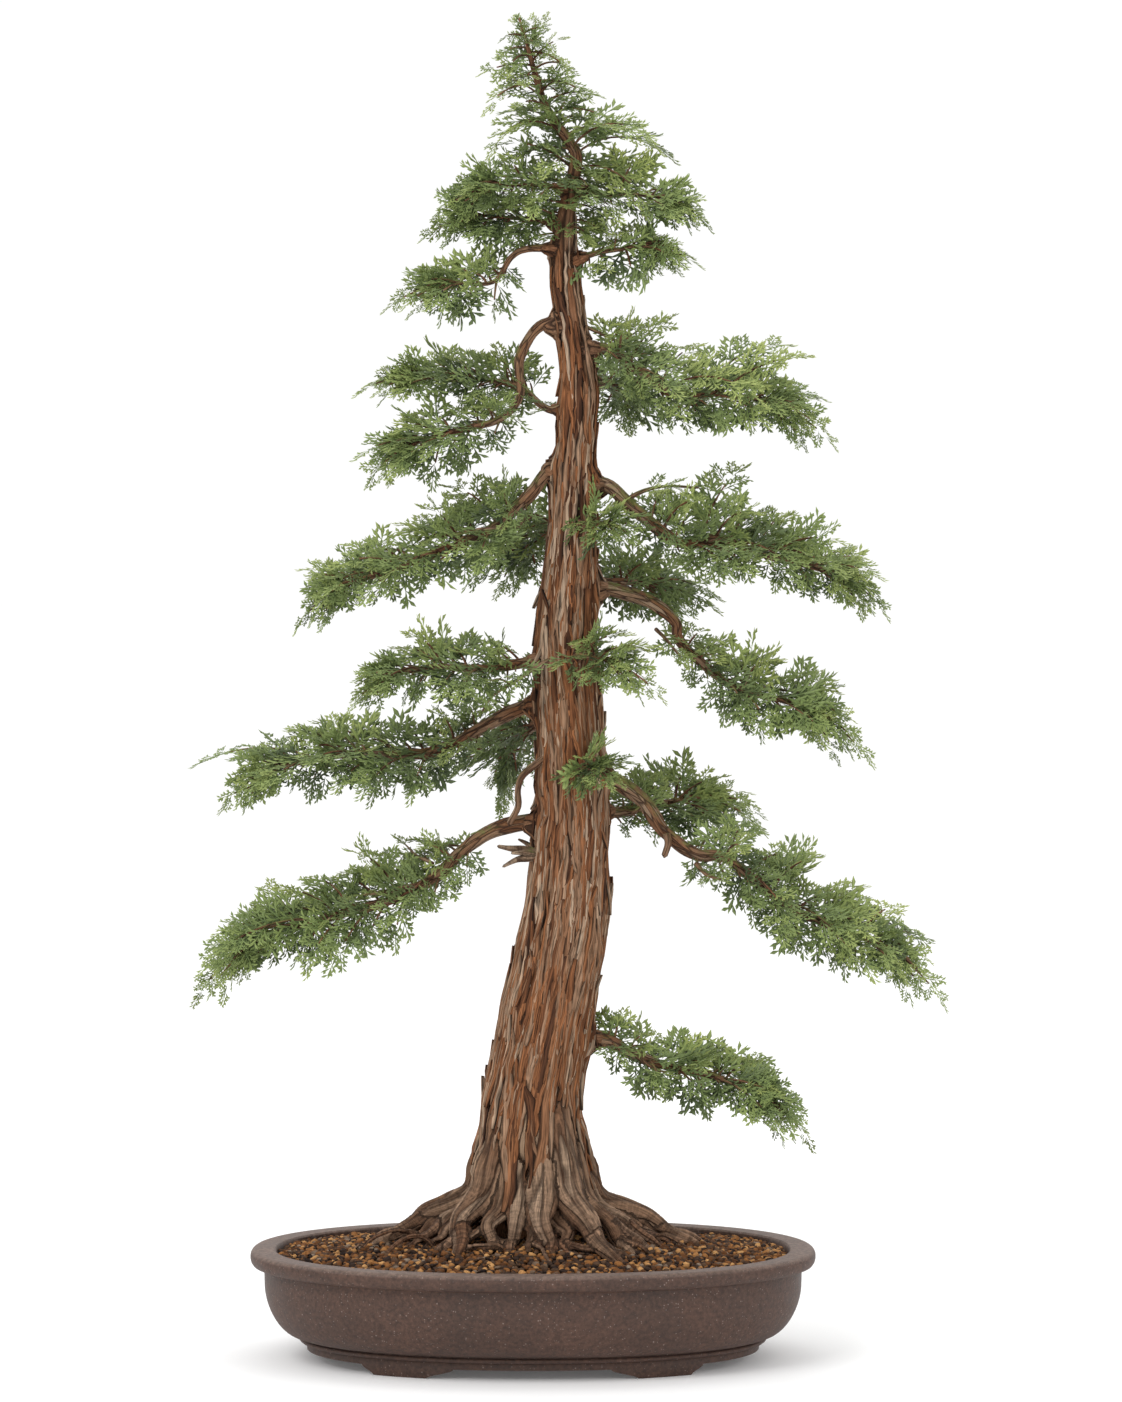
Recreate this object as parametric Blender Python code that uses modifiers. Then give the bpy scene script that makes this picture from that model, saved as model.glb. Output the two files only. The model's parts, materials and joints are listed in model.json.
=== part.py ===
"""Bonsai tree in an oval stoneware pot, built as its separate pieces.

Metres, +Z up, the front towards -Y. Run it with
blender --background --python part.py, or from Blender's text editor.
"""

import math

import bmesh
import bpy
import numpy as np
from mathutils import Matrix, Vector

MM = 0.001
GAP = 0.3 * MM  # clearance between pieces that touch

# Pot, an oval bowl on four feet
POT_LENGTH = 340 * MM
POT_DEPTH = 256 * MM
POT_HEIGHT = 66 * MM
POT_WALL = 7.5 * MM
POT_FLOOR = 7 * MM
POT_SQUARENESS = 2.2  # 2 is an ellipse, more is squarer
RIM_WIDTH = 15 * MM
RIM_THICKNESS = 9.5 * MM
RIM_ROUNDING = 3 * MM
RIM_TUCK = 2.2 * MM  # how far the lip is rounded in underneath
RIM_OVERHANG = 8.5 * MM
BELLY_HEIGHT = 44 * MM  # where the wall is widest
BELLY_TUCK = 20 * MM  # how far the wall curves in below it
BEAD_HEIGHT = 3.5 * MM  # moulding under the belly
BEAD_STEP = 4 * MM
BEAD_ROUNDING = 0.6 * MM
BEAD_GROOVE = 0.8 * MM  # over the moulding
BAND_HEIGHT = 4 * MM  # plain band under the moulding
BAND_STEP = 1.2 * MM
FOOT_HEIGHT = 6 * MM
FOOT_LENGTH = 43 * MM
FOOT_THICKNESS = 10 * MM
FOOT_TAPER = 0.8 * MM
FOOT_FROM_END = 39 * MM  # from the end of the base to a foot
FOOT_INNER_SLOPE = 9 * MM
FOOT_OUTER_SLOPE = 4 * MM
UNDERSIDE_RECESS = 1 * MM  # of the base inside the ring of feet

# Drainage: a hole under each half, a mesh screen over it and a wire that pins the screen
DRAIN_RADIUS = 11 * MM
DRAIN_OFFSET = 62 * MM
SCREEN_SIZE = 32 * MM
SCREEN_CELLS = 5  # to a side, an odd number so that the wire's legs pass through cells
SCREEN_THICKNESS = 1.4 * MM
SCREEN_WIRE_RADIUS = 0.75 * MM
SCREEN_WIRE_REACH = 17 * MM  # from the hole's middle to the wire's bent end
SCREEN_WIRE_BEND = 2 * MM

# Soil
SOIL_EDGE_DROP = 4 * MM  # below the rim, at the pot's wall
SOIL_MOUND = 13 * MM  # from the edge up to the trunk
SOIL_GAP = 0.5 * MM  # from the pot's wall and floor

# Tree
TREE_HEIGHT = 742 * MM  # from the pot's rim to the tip
TREE_SPREAD = 466 * MM  # from the left tips to the right tips
TRUNK_RADIUS = 34.5 * MM  # above the root flare
TRUNK_DEEP = 24 * MM  # how far its base goes down into the soil
ROOT_SPREAD = 103 * MM  # longest surface root, from the trunk's middle
ROOT_START = 46 * MM  # above the soil, inside the trunk
ROOT_SHOULDER = 22 * MM  # above the soil, where it leaves the flare
ROOT_LIFT = 5 * MM  # above the soil along its run, and below the soil at its end
BRANCH_RADIUS = 5.4 * MM  # the thickest branch where it leaves the trunk
FOLIAGE_CLEARANCE = 1 * MM  # over the branch that carries it
FOLIAGE_LIFT = 1.7  # of the pad over the branch's middle, as a share of the branch's radius
DRAWN_HEIGHT = 742 * MM  # the height and spread that the tree's points below are drawn at
DRAWN_SPREAD = 466 * MM

RISE = TREE_HEIGHT / DRAWN_HEIGHT
REACH = TREE_SPREAD / DRAWN_SPREAD

# The trunk's middle line: height above the rim, right, back, and radius as a share of
# TRUNK_RADIUS. It leans right through the middle, then hooks back left at the tip.
TRUNK_LINE = [
    (-14, -1, 0, 1.30),
    (22, -1, 0, 1.36),
    (48, -1, 0, 1.19),
    (66, -1, 0, 1.02),
    (98, 1, 1, 0.88),
    (163, 13, 4, 0.81),
    (229, 22, 6, 0.69),
    (294, 23, 6, 0.61),
    (357, 20, 4, 0.56),
    (390, 21, 2, 0.51),
    (422, 23, 0, 0.41),
    (487, 26, -3, 0.335),
    (520, 27, -5, 0.32),
    (553, 23, -7, 0.265),
    (586, 19, -9, 0.25),
    (618, 20, -10, 0.17),
    (649, 25, -11, 0.125),
    (661, 23, -12, 0.105),
    (683, 8, -13, 0.08),
    (705, 1, -14, 0.06),
    (727, -5, -15, 0.038),
    (742, -8, -15, 0.022),
]

# Surface roots: direction in degrees (0 is right, -90 the front), reach as a share of
# ROOT_SPREAD, and radius as a share of TRUNK_RADIUS
ROOTS = [
    (4, 1.00, 0.26),
    (-14, 0.76, 0.18),
    (-35, 0.72, 0.22),
    (-55, 0.78, 0.30),
    (-80, 0.53, 0.28),
    (-103, 0.50, 0.19),
    (-119, 0.55, 0.19),
    (-138, 0.66, 0.29),
    (-161, 0.68, 0.20),
    (176, 0.94, 0.26),
    (150, 0.76, 0.22),
    (121, 0.62, 0.25),
    (90, 0.58, 0.21),
    (62, 0.64, 0.26),
    (33, 0.76, 0.22),
]

# Branches: height on the trunk (mm above the rim), radius there as a share of BRANCH_RADIUS,
# and the points it runs through as (right, back, up) from the trunk's middle there, in mm.
# The foliage of each: where it starts as a share of the branch, how far it runs past the
# branch's end, its half widths to the front and the back, its height and its droop, in mm.
BRANCHES = {
    "left_1": (
        (255, 1.00, [
            (-35, -3, 0), (-61, -8, -12), (-81, -12, -31), (-105, -14, -44), (-146, -12, -60),
            (-191, -8, -80),
        ]),
        (0.36, 54, 52, 52, 37, 27),
    ),
    "left_2": (
        (329, 0.92, [
            (-30, 2, -5), (-55, 6, -18), (-82, 8, -31), (-109, 6, -33), (-141, 4, -35),
            (-181, 2, -47),
        ]),
        (0.34, 36, 48, 52, 29, 22),
    ),
    "left_3": (
        (354, 0.72, [(-27, -12, -2), (-48, -20, -5), (-77, -26, -4), (-104, -30, -8)]),
        (0.26, 30, 34, 30, 25, 18),
    ),
    "left_4": (
        (473, 0.90, [
            (-14, 0, -5), (-29, -4, -22), (-48, -8, -39), (-72, -10, -51), (-104, -10, -63),
            (-140, -8, -74),
        ]),
        (0.24, 36, 44, 46, 35, 18),
    ),
    "left_5": (
        (558, 0.70, [
            (-18, -2, -5), (-30, -4, -23), (-30, -6, -46), (-42, -8, -60), (-67, -8, -67),
            (-94, -6, -74),
        ]),
        (0.60, 34, 36, 30, 21, 22),
    ),
    "left_6": (
        (505, 0.50, [(-18, 7, -1), (-33, 12, 11), (-54, 14, 17), (-74, 14, 17), (-93, 12, 20)]),
        (0.30, 38, 28, 32, 17, 9),
    ),
    "left_7": (
        (601, 0.48, [(-22, -3, -2), (-32, -6, -7), (-43, -10, -22), (-69, -10, -22)]),
        (0.58, 38, 28, 24, 15, 20),
    ),
    "left_8": (
        (614, 0.42, [(-13, 5, 2), (-28, 9, 4), (-53, 10, 6)]),
        (0.22, 32, 24, 28, 12, 8),
    ),
    "left_9": (
        (636, 0.38, [(-20, -3, 1), (-45, -5, 1)]),
        (0.22, 38, 22, 24, 18, 7),
    ),
    "right_1": (
        (127, 0.86, [(37, -4, -2), (53, -6, -10), (78, -8, -18), (95, -8, -21), (130, -6, -33)]),
        (0.28, 44, 34, 34, 20, 17),
    ),
    "right_2": (
        (293, 1.00, [
            (25, -4, -11), (43, -7, -24), (57, -9, -43), (75, -10, -56), (94, -10, -59),
            (124, -8, -83), (149, -5, -98), (185, -4, -114),
        ]),
        (0.48, 54, 52, 50, 37, 27),
    ),
    "right_3": (
        (396, 0.92, [
            (25, 3, 0), (48, 6, -7), (64, 8, -19), (67, 8, -31), (88, 6, -51),
            (107, 4, -61), (139, 2, -69),
        ]),
        (0.56, 54, 44, 46, 29, 19),
    ),
    "right_4": (
        (462, 0.92, [
            (21, -3, -5), (38, -6, -20), (64, -8, -38), (87, -8, -36), (117, -8, -46),
            (158, -6, -56),
        ]),
        (0.30, 38, 48, 48, 41, 22),
    ),
    "right_5": (
        (542, 0.70, [(24, -2, -4), (36, -5, -14), (62, -7, -31), (83, -8, -29), (116, -6, -33)]),
        (0.24, 46, 42, 34, 42, 16),
    ),
    "right_6": (
        (592, 0.46, [(21, -4, 5), (47, -6, 9)]),
        (0.36, 32, 24, 24, 10, 14),
    ),
    "right_7": (
        (637, 0.42, [(20, -1, -6), (32, -3, -5), (54, -3, -7)]),
        (0.20, 30, 28, 28, 22, 10),
    ),
    "back_1": (
        (263, 0.80, [(28, 16, -2), (52, 34, 2), (74, 52, 5)]),
        (0.36, 62, 34, 40, 20, 20),
    ),
    "back_2": (
        (402, 0.70, [(20, 20, -2), (38, 46, -2), (56, 78, -6)]),
        (0.40, 40, 36, 36, 20, 16),
    ),
    "back_3": (
        (521, 0.56, [(12, 24, -2), (20, 46, -1), (28, 68, -6)]),
        (0.44, 30, 26, 30, 14, 12),
    ),
    "back_4": (
        (316, 0.86, [(-18, 30, -2), (-30, 64, -10), (-38, 98, -24)]),
        (0.34, 48, 46, 46, 26, 22),
    ),
    "back_5": (
        (440, 0.72, [(-4, 26, -2), (-16, 54, -10), (-30, 84, -20)]),
        (0.34, 38, 40, 38, 24, 18),
    ),
    "front_1": (
        (288, 0.42, [(6, -24, 2), (14, -40, 3)]),
        (0.52, 20, 15, 17, 12, 8),
    ),
    "front_2": (
        (357, 0.55, [(8, -24, 0), (24, -38, -2)]),
        (0.44, 40, 24, 26, 24, 14),
    ),
    "front_3": (
        (436, 0.42, [(6, -16, 0), (20, -30, 0)]),
        (0.48, 22, 17, 17, 11, 6),
    ),
}

# Foliage round the tip: height of its base above the rim, half widths left and right, half
# width front and back, and its height, in mm
CROWNS = {
    "apex_lower": (658, 52, 30, 24, 28),
    "apex_upper": (690, 36, 32, 20, 34),
}

# Dead stub on the left of the trunk: height, radius share and points, as for a branch
DEAD_STUB = (236, 1.05, [(-26, -6, 0), (-36, -9, -2), (-44, -10, -5)])

OVAL_SIDES = 48
RIM_Z = POT_HEIGHT
UNDERSIDE_Z = FOOT_HEIGHT + UNDERSIDE_RECESS
FLOOR_Z = UNDERSIDE_Z + POT_FLOOR
BAND_Z = FOOT_HEIGHT + BAND_HEIGHT
BEAD_Z = BAND_Z + BEAD_HEIGHT
BASE_INSET = RIM_OVERHANG + BELLY_TUCK + BEAD_STEP + BAND_STEP


def clear_scene():
    for item in list(bpy.data.objects):
        bpy.data.objects.remove(item, do_unlink=True)


def new_collection(name, parent=None):
    collection = bpy.data.collections.new(name)
    (parent or bpy.context.scene.collection).children.link(collection)
    return collection


def new_material(name, colour, roughness, metallic=0.0):
    material = bpy.data.materials.new(name)
    material.use_nodes = True
    shader = material.node_tree.nodes["Principled BSDF"]
    shader.inputs["Base Color"].default_value = (*colour, 1.0)
    shader.inputs["Roughness"].default_value = roughness
    shader.inputs["Metallic"].default_value = metallic
    material.diffuse_color = (*colour, 1.0)
    return material


def add_part(name, mesh, material, smooth=True):
    """A named piece of the object, standing on the shared empty."""
    piece = bpy.data.objects.new(name, mesh)
    mesh.materials.clear()
    mesh.materials.append(material)
    mesh.shade_smooth() if smooth else mesh.shade_flat()
    parts.objects.link(piece)
    piece.parent = stand
    return piece


def add_cutter(name, mesh, collection):
    """A shape that only cuts or joins, kept out of the render."""
    piece = bpy.data.objects.new(name, mesh)
    piece.hide_render = True
    piece.display_type = "WIRE"
    collection.objects.link(piece)
    piece.parent = stand
    return piece


def boolean(piece, operation, cutter=None, collection=None):
    modifier = piece.modifiers.new(operation.lower(), "BOOLEAN")
    modifier.operation = operation
    modifier.solver = "EXACT"
    if collection:
        modifier.operand_type = "COLLECTION"
        modifier.collection = collection
    else:
        modifier.object = cutter


def finish_mesh(bm, name):
    bmesh.ops.remove_doubles(bm, verts=bm.verts, dist=1e-6)
    bmesh.ops.recalc_face_normals(bm, faces=bm.faces)
    mesh = bpy.data.meshes.new(name)
    bm.to_mesh(mesh)
    bm.free()
    return mesh


# ---- ovals and the pot's profile -----------------------------------------------------------


def oval_loft(name, rings):
    """A closed skin over ovals given as (half length, half depth, height), from pole to pole."""
    bm = bmesh.new()
    loops = []
    for half_length, half_depth, height in rings:
        loop = []
        for step in range(OVAL_SIDES):
            turn = math.tau * step / OVAL_SIDES
            across, away = math.cos(turn), math.sin(turn)
            squared = abs(across) ** POT_SQUARENESS + abs(away) ** POT_SQUARENESS
            share = squared ** (-1 / POT_SQUARENESS)
            spot = (half_length * share * across, half_depth * share * away, height)
            loop.append(bm.verts.new(spot))
        loops.append(loop)
    for lower, upper in zip(loops, loops[1:]):
        for step in range(OVAL_SIDES):
            nxt = (step + 1) % OVAL_SIDES
            bm.faces.new((lower[step], lower[nxt], upper[nxt], upper[step]))
    for loop, height in ((loops[0], rings[0][2]), (loops[-1], rings[-1][2])):
        pole = bm.verts.new((0, 0, height))
        for step in range(OVAL_SIDES):
            bm.faces.new((loop[step], loop[(step + 1) % OVAL_SIDES], pole))
    return finish_mesh(bm, name)


def inset_oval(inset, height):
    return POT_LENGTH / 2 - inset, POT_DEPTH / 2 - inset, height


def belly(inset, tuck, bottom):
    """A wall's curve from its widest down to the base, as insets from the rim's outside."""
    points = []
    for degrees in (0, 18, 36, 54, 72, 90):
        turn = math.radians(degrees)
        inward = tuck * (1 - math.cos(turn)) ** 0.85
        points.append((inset + inward, BELLY_HEIGHT - (BELLY_HEIGHT - bottom) * math.sin(turn)))
    return points


def inner_wall(clearance=0.0):
    """The bowl's inside from its floor up, moved in by a clearance."""
    tuck = BASE_INSET - RIM_OVERHANG
    return belly(RIM_OVERHANG + POT_WALL + clearance, tuck, FLOOR_Z + clearance)[::-1]


def rim_profile():
    """Round the lip, from its inner edge over the top to where it meets the wall."""
    rounded = []
    for degrees in (90, 120, 150, 180):
        turn = math.radians(degrees)
        rounded.append(
            (RIM_ROUNDING * (1 + math.cos(turn)), RIM_Z - RIM_ROUNDING * (1 - math.sin(turn)))
        )
    under = [
        (0.2 * RIM_TUCK, RIM_Z - 0.72 * RIM_THICKNESS),
        (RIM_TUCK, RIM_Z - RIM_THICKNESS),
        (RIM_OVERHANG, RIM_Z - RIM_THICKNESS),
    ]
    return [(RIM_WIDTH, RIM_Z)] + rounded + under


def pot_profile():
    """From the inside of the floor, up the wall, over the rim and down to the underside."""
    outside = belly(RIM_OVERHANG, BELLY_TUCK, BEAD_Z + BEAD_GROOVE)
    bead_in = RIM_OVERHANG + BELLY_TUCK + 0.25 * BEAD_STEP
    bead = [
        (bead_in + BEAD_ROUNDING, BEAD_Z),
        (bead_in, BEAD_Z - 0.3 * BEAD_HEIGHT),
        (bead_in + BEAD_ROUNDING, BEAD_Z - 0.65 * BEAD_HEIGHT),
        (BASE_INSET - BAND_STEP, BAND_Z + 0.1 * BEAD_HEIGHT),
    ]
    base = [
        (BASE_INSET, BAND_Z),
        (BASE_INSET + FOOT_TAPER, 0),
        (BASE_INSET + FOOT_THICKNESS, 0),
        (BASE_INSET + FOOT_THICKNESS, UNDERSIDE_Z),
    ]
    return inner_wall() + rim_profile() + outside + bead + base


def prism(name, outline, depth, collection):
    """A flat outline in X and Z, pulled out along Y to both sides."""
    curve = bpy.data.curves.new(name, "CURVE")
    curve.dimensions = "2D"
    curve.fill_mode = "BOTH"
    curve.extrude = depth / 2
    spline = curve.splines.new("POLY")
    spline.points.add(len(outline) - 1)
    for spot, (across, height) in zip(spline.points, outline):
        spot.co = (across, height, 0, 1)
    spline.use_cyclic_u = True
    mesh = curve_mesh(curve)
    mesh.transform(Matrix.Rotation(math.radians(90), 4, "X"))
    return add_cutter(name, mesh, collection)


def curve_mesh(curve):
    """The curve's skin as a welded mesh."""
    holder = bpy.data.objects.new(curve.name, curve)
    bpy.context.scene.collection.objects.link(holder)
    bpy.context.view_layer.update()
    depsgraph = bpy.context.evaluated_depsgraph_get()
    skin = bpy.data.meshes.new_from_object(holder.evaluated_get(depsgraph))
    bpy.data.objects.remove(holder)
    bpy.data.curves.remove(curve)
    bm = bmesh.new()
    bm.from_mesh(skin)
    bpy.data.meshes.remove(skin)
    return finish_mesh(bm, "skin")


def make_pot():
    """The bowl, with cutters for the drain holes and for all of the foot ring but four feet."""
    foot_outer = POT_LENGTH / 2 - BASE_INSET - FOOT_FROM_END
    foot_inner = foot_outer - FOOT_LENGTH
    below, far = -FOOT_HEIGHT, POT_LENGTH
    middle = [
        (-foot_inner - FOOT_INNER_SLOPE, below),
        (foot_inner + FOOT_INNER_SLOPE, below),
        (foot_inner - FOOT_INNER_SLOPE, FOOT_HEIGHT),
        (FOOT_INNER_SLOPE - foot_inner, FOOT_HEIGHT),
    ]
    prism("gap_between_feet", middle, 2 * POT_DEPTH, pot_cutters)
    for name, side in (("left", -1), ("right", 1)):
        end = [
            (side * (foot_outer - FOOT_OUTER_SLOPE), below),
            (side * far, below),
            (side * far, FOOT_HEIGHT),
            (side * (foot_outer + FOOT_OUTER_SLOPE), FOOT_HEIGHT),
        ]
        prism("gap_past_feet_" + name, end, 2 * POT_DEPTH, pot_cutters)
        bm = bmesh.new()
        bmesh.ops.create_cone(
            bm, cap_ends=True, segments=24, radius1=DRAIN_RADIUS, radius2=DRAIN_RADIUS, depth=2 * FLOOR_Z
        )
        bmesh.ops.translate(bm, verts=bm.verts, vec=(side * DRAIN_OFFSET, 0, FLOOR_Z))
        add_cutter("drain_hole_" + name, finish_mesh(bm, "drain_hole"), pot_cutters)
    return add_part("pot", oval_loft("pot", [inset_oval(*point) for point in pot_profile()]), stoneware)


# ---- drainage ------------------------------------------------------------------------------


def make_screen(name, side):
    """A square of plastic mesh lying on the floor over its hole."""
    bm = bmesh.new()
    bmesh.ops.create_grid(bm, x_segments=SCREEN_CELLS, y_segments=SCREEN_CELLS, size=SCREEN_SIZE / 2)
    mesh = bpy.data.meshes.new(name)
    bm.to_mesh(mesh)
    bm.free()
    screen = add_part(name, mesh, screen_plastic, smooth=False)
    screen.location = (side * DRAIN_OFFSET, 0, FLOOR_Z + GAP + SCREEN_THICKNESS / 2)
    wires = screen.modifiers.new("mesh", "WIREFRAME")
    wires.thickness = SCREEN_THICKNESS
    wires.use_boundary = True


def make_screen_wire(name, side):
    """A wire over the screen, down through the hole and bent out under the pot."""
    leg = SCREEN_SIZE / SCREEN_CELLS
    over = FLOOR_Z + SCREEN_THICKNESS + SCREEN_WIRE_RADIUS + 2 * GAP
    under = UNDERSIDE_Z - SCREEN_WIRE_RADIUS - GAP
    half = [
        (SCREEN_WIRE_REACH, under),
        (leg + SCREEN_WIRE_BEND, under),
        (leg + 0.3 * SCREEN_WIRE_BEND, under + 0.25 * SCREEN_WIRE_BEND),
        (leg, under + SCREEN_WIRE_BEND),
        (leg, over - 0.75 * SCREEN_WIRE_BEND),
        (leg - 0.2 * SCREEN_WIRE_BEND, over - 0.2 * SCREEN_WIRE_BEND),
        (leg - 0.75 * SCREEN_WIRE_BEND, over),
    ]
    line = [(-across, height) for across, height in half] + half[::-1]
    points = [(side * DRAIN_OFFSET + across, 0, height) for across, height in line]
    add_part(name, tube(points, [SCREEN_WIRE_RADIUS] * len(points), 1), wire_metal)


# ---- soil ----------------------------------------------------------------------------------


def soil_height(right, back):
    """The mound's surface over a point."""
    half_length, half_depth, _ = inset_oval(RIM_OVERHANG + POT_WALL, 0)
    share = min(1.0, math.hypot(right / half_length, back / half_depth))
    return RIM_Z - SOIL_EDGE_DROP + SOIL_MOUND * math.cos(share * math.pi / 2) ** 1.4


def make_soil():
    """The bed that fills the pot, with cutters for the room that the screens take."""
    wall = [inset_oval(*point) for point in inner_wall(SOIL_GAP)]
    half_length, half_depth, _ = wall[-1]
    top = [
        (half_length * share, half_depth * share, soil_height(half_length * share, 0))
        for share in (1.0, 0.86, 0.7, 0.52, 0.34, 0.16)
    ]
    room = SCREEN_SIZE + SCREEN_THICKNESS + 4 * GAP
    room_height = SCREEN_THICKNESS + 2 * SCREEN_WIRE_RADIUS + 4 * GAP
    for name, side in (("left", -1), ("right", 1)):
        bm = bmesh.new()
        bmesh.ops.create_cube(bm, size=1.0)
        bmesh.ops.scale(bm, verts=bm.verts, vec=(room, room, 2 * room_height))
        bmesh.ops.translate(bm, verts=bm.verts, vec=(side * DRAIN_OFFSET, 0, FLOOR_Z))
        add_cutter("screen_room_" + name, finish_mesh(bm, "screen_room"), soil_cutters)
    return add_part("soil_bed", oval_loft("soil_bed", wall + top), granules)


# ---- wood ----------------------------------------------------------------------------------


def smooth_rows(rows, steps):
    """Rows along a smooth curve through the given rows, `steps` to each stretch."""
    rows = np.array(rows, float)
    ends = np.vstack([2 * rows[0] - rows[1], rows, 2 * rows[-1] - rows[-2]])
    result = []
    for before, start, end, after in zip(ends, ends[1:], ends[2:], ends[3:]):
        for share in np.arange(steps) / steps:
            bend = (end - before) * share
            bend += (2 * before - 5 * start + 4 * end - after) * share**2
            bend += (3 * start - before - 3 * end + after) * share**3
            result.append(start + bend / 2)
    result.append(rows[-1])
    return np.array(result)


def tube(points, radii, resolution):
    """A closed tube through the points, with its own radius at each."""
    curve = bpy.data.curves.new("tube", "CURVE")
    curve.dimensions = "3D"
    curve.bevel_depth = 1.0
    curve.bevel_resolution = resolution
    curve.use_fill_caps = True
    spline = curve.splines.new("POLY")
    spline.points.add(len(points) - 1)
    for spot, point, radius in zip(spline.points, points, radii):
        spot.co = (*point, 1.0)
        spot.radius = radius
    return curve_mesh(curve)


def trunk_rows():
    """The trunk's middle line as right, back, height and radius."""
    rows = [
        (right * REACH * MM, back * REACH * MM, RIM_Z + height * RISE * MM, share * TRUNK_RADIUS)
        for height, right, back, share in TRUNK_LINE
    ]
    rows.insert(0, (rows[0][0], rows[0][1], RIM_Z - TRUNK_DEEP, 0.9 * TRUNK_RADIUS))
    return smooth_rows(rows, 2)


def trunk_at(height):
    """The trunk's middle at a height above the rim, given in mm at its drawn size."""
    rows = trunk_rows()
    level = RIM_Z + height * RISE * MM
    return np.array([np.interp(level, rows[:, 2], rows[:, axis]) for axis in range(4)])


def grown(rows, room):
    """A line's rows, thicker and longer by a clearance."""
    rows = rows.copy()
    rows[:, 3] += room
    for end, inner in ((0, 1), (-1, -2)):
        away = rows[end, :3] - rows[inner, :3]
        rows[end, :3] += away / np.linalg.norm(away) * room
    return rows


def trunk_mesh(room=0.0):
    rows = grown(trunk_rows(), room)
    return tube(rows[:, :3], rows[:, 3], 6)


def root_mesh(number, room=0.0):
    """A root that leaves the flare, runs along the soil and dives into it."""
    degrees, reach, share = ROOTS[number]
    turn = math.radians(degrees)
    length = reach * ROOT_SPREAD
    radius = share * TRUNK_RADIUS
    sway = 0.05 * ROOT_SPREAD * math.sin(2.4 * number)
    stations = (
        (0.30 * TRUNK_RADIUS, ROOT_START, 0.75, 0.0),
        (0.92 * TRUNK_RADIUS, ROOT_SHOULDER, 1.0, 0.2),
        (0.45 * (length + TRUNK_RADIUS), ROOT_LIFT, 0.80, 0.8),
        (0.80 * length, 0.1 * ROOT_LIFT, 0.55, 0.6),
        (length, -ROOT_LIFT, 0.30, 0.2),
    )
    rows = []
    for out, lift, thickness, swing in stations:
        right = out * math.cos(turn) - swing * sway * math.sin(turn)
        back = out * math.sin(turn) + swing * sway * math.cos(turn)
        rows.append((right, back, soil_height(right, back) + lift, thickness * radius))
    rows = grown(smooth_rows(rows, 2), room)
    return tube(rows[:, :3], rows[:, 3], 1)


def make_trunk():
    """The trunk, with the roots that join it and the room that both take in the soil."""
    for number in range(len(ROOTS)):
        add_cutter(f"root_{number + 1}", root_mesh(number), root_shapes)
        add_cutter(f"root_room_{number + 1}", root_mesh(number, GAP), soil_cutters)
    add_cutter("trunk_room", trunk_mesh(GAP), soil_cutters)
    return add_part("trunk_and_roots", trunk_mesh(), bark)


def branch_rows(height, radius_share, points):
    """A branch's line from the trunk's middle outwards, as right, back, height and radius."""
    start = trunk_at(height)
    thick = radius_share * BRANCH_RADIUS
    rows = [(*start[:3], 1.15 * thick)]
    for number, (right, back, rise) in enumerate(points):
        share = (number + 1) / len(points)
        spot = start[:3] + np.array([right * REACH, back * REACH, rise * RISE]) * MM
        rows.append((*spot, thick * (1 - 0.62 * share)))
    return smooth_rows(rows, 2)


def make_branch(name, rows, material):
    return add_part(name, tube(rows[:, :3], rows[:, 3], 1), material)


# ---- foliage -------------------------------------------------------------------------------


def along(rows, share):
    """The row at a share of the line's length, which may be past its end."""
    steps = np.linalg.norm(np.diff(rows[:, :3], axis=0), axis=1)
    lengths = np.concatenate([[0.0], np.cumsum(steps)])
    reach = share * lengths[-1]
    row = np.array([np.interp(reach, lengths, rows[:, axis]) for axis in range(4)])
    if share > 1:
        onward = rows[-1, :3] - rows[-2, :3]
        row[:3] += onward / np.linalg.norm(onward) * (reach - lengths[-1])
    return row, lengths[-1]


def foliage_mesh(number, rows, start, past, front, back, height, droop):
    """A crowned pad of sprays over a branch, hanging down at its sides."""
    _, length = along(rows, 0)
    end = 1 + past * REACH * MM / length
    chord = Vector(along(rows, end)[0][:3] - along(rows, start)[0][:3])
    side = Vector((-chord.y, chord.x, 0)).normalized()
    if side.y < 0:
        side.negate()
    bm = bmesh.new()
    bmesh.ops.create_uvsphere(bm, u_segments=20, v_segments=6, radius=1.0)
    for vert in bm.verts:
        turn = math.atan2(vert.co.y, vert.co.x)
        lobe = 0.93 + 0.07 * math.cos(5 * turn + number) * math.hypot(vert.co.x, vert.co.y)
        across = vert.co.y * lobe
        share = start + (end - start) * (0.5 + 0.5 * vert.co.x * lobe)
        row, _ = along(rows, share)
        width = (back if across > 0 else front) * REACH * MM
        crown = (max(vert.co.z, 0) * height - droop * across**2) * RISE * MM
        lift = FOLIAGE_LIFT * row[3] + FOLIAGE_CLEARANCE + crown
        vert.co = Vector(row[:3]) + side * across * width + Vector((0, 0, lift))
    return finish_mesh(bm, "foliage")


def crown_mesh(base, left, right, deep, height):
    """A dome of sprays round the trunk's tip."""
    middle = trunk_at(base + height / 2)
    bm = bmesh.new()
    bmesh.ops.create_uvsphere(bm, u_segments=20, v_segments=6, radius=1.0)
    for vert in bm.verts:
        turn = math.atan2(vert.co.y, vert.co.x)
        lobe = 0.92 + 0.08 * math.cos(5 * turn + base)
        width = right if vert.co.x > 0 else left
        lift = 0.35 * height + vert.co.z * height * (0.65 if vert.co.z > 0 else 0.35)
        vert.co = (
            middle[0] + vert.co.x * lobe * width * REACH * MM,
            middle[1] + vert.co.y * lobe * deep * REACH * MM,
            RIM_Z + (base + lift) * RISE * MM,
        )
    return finish_mesh(bm, "crown")


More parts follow.
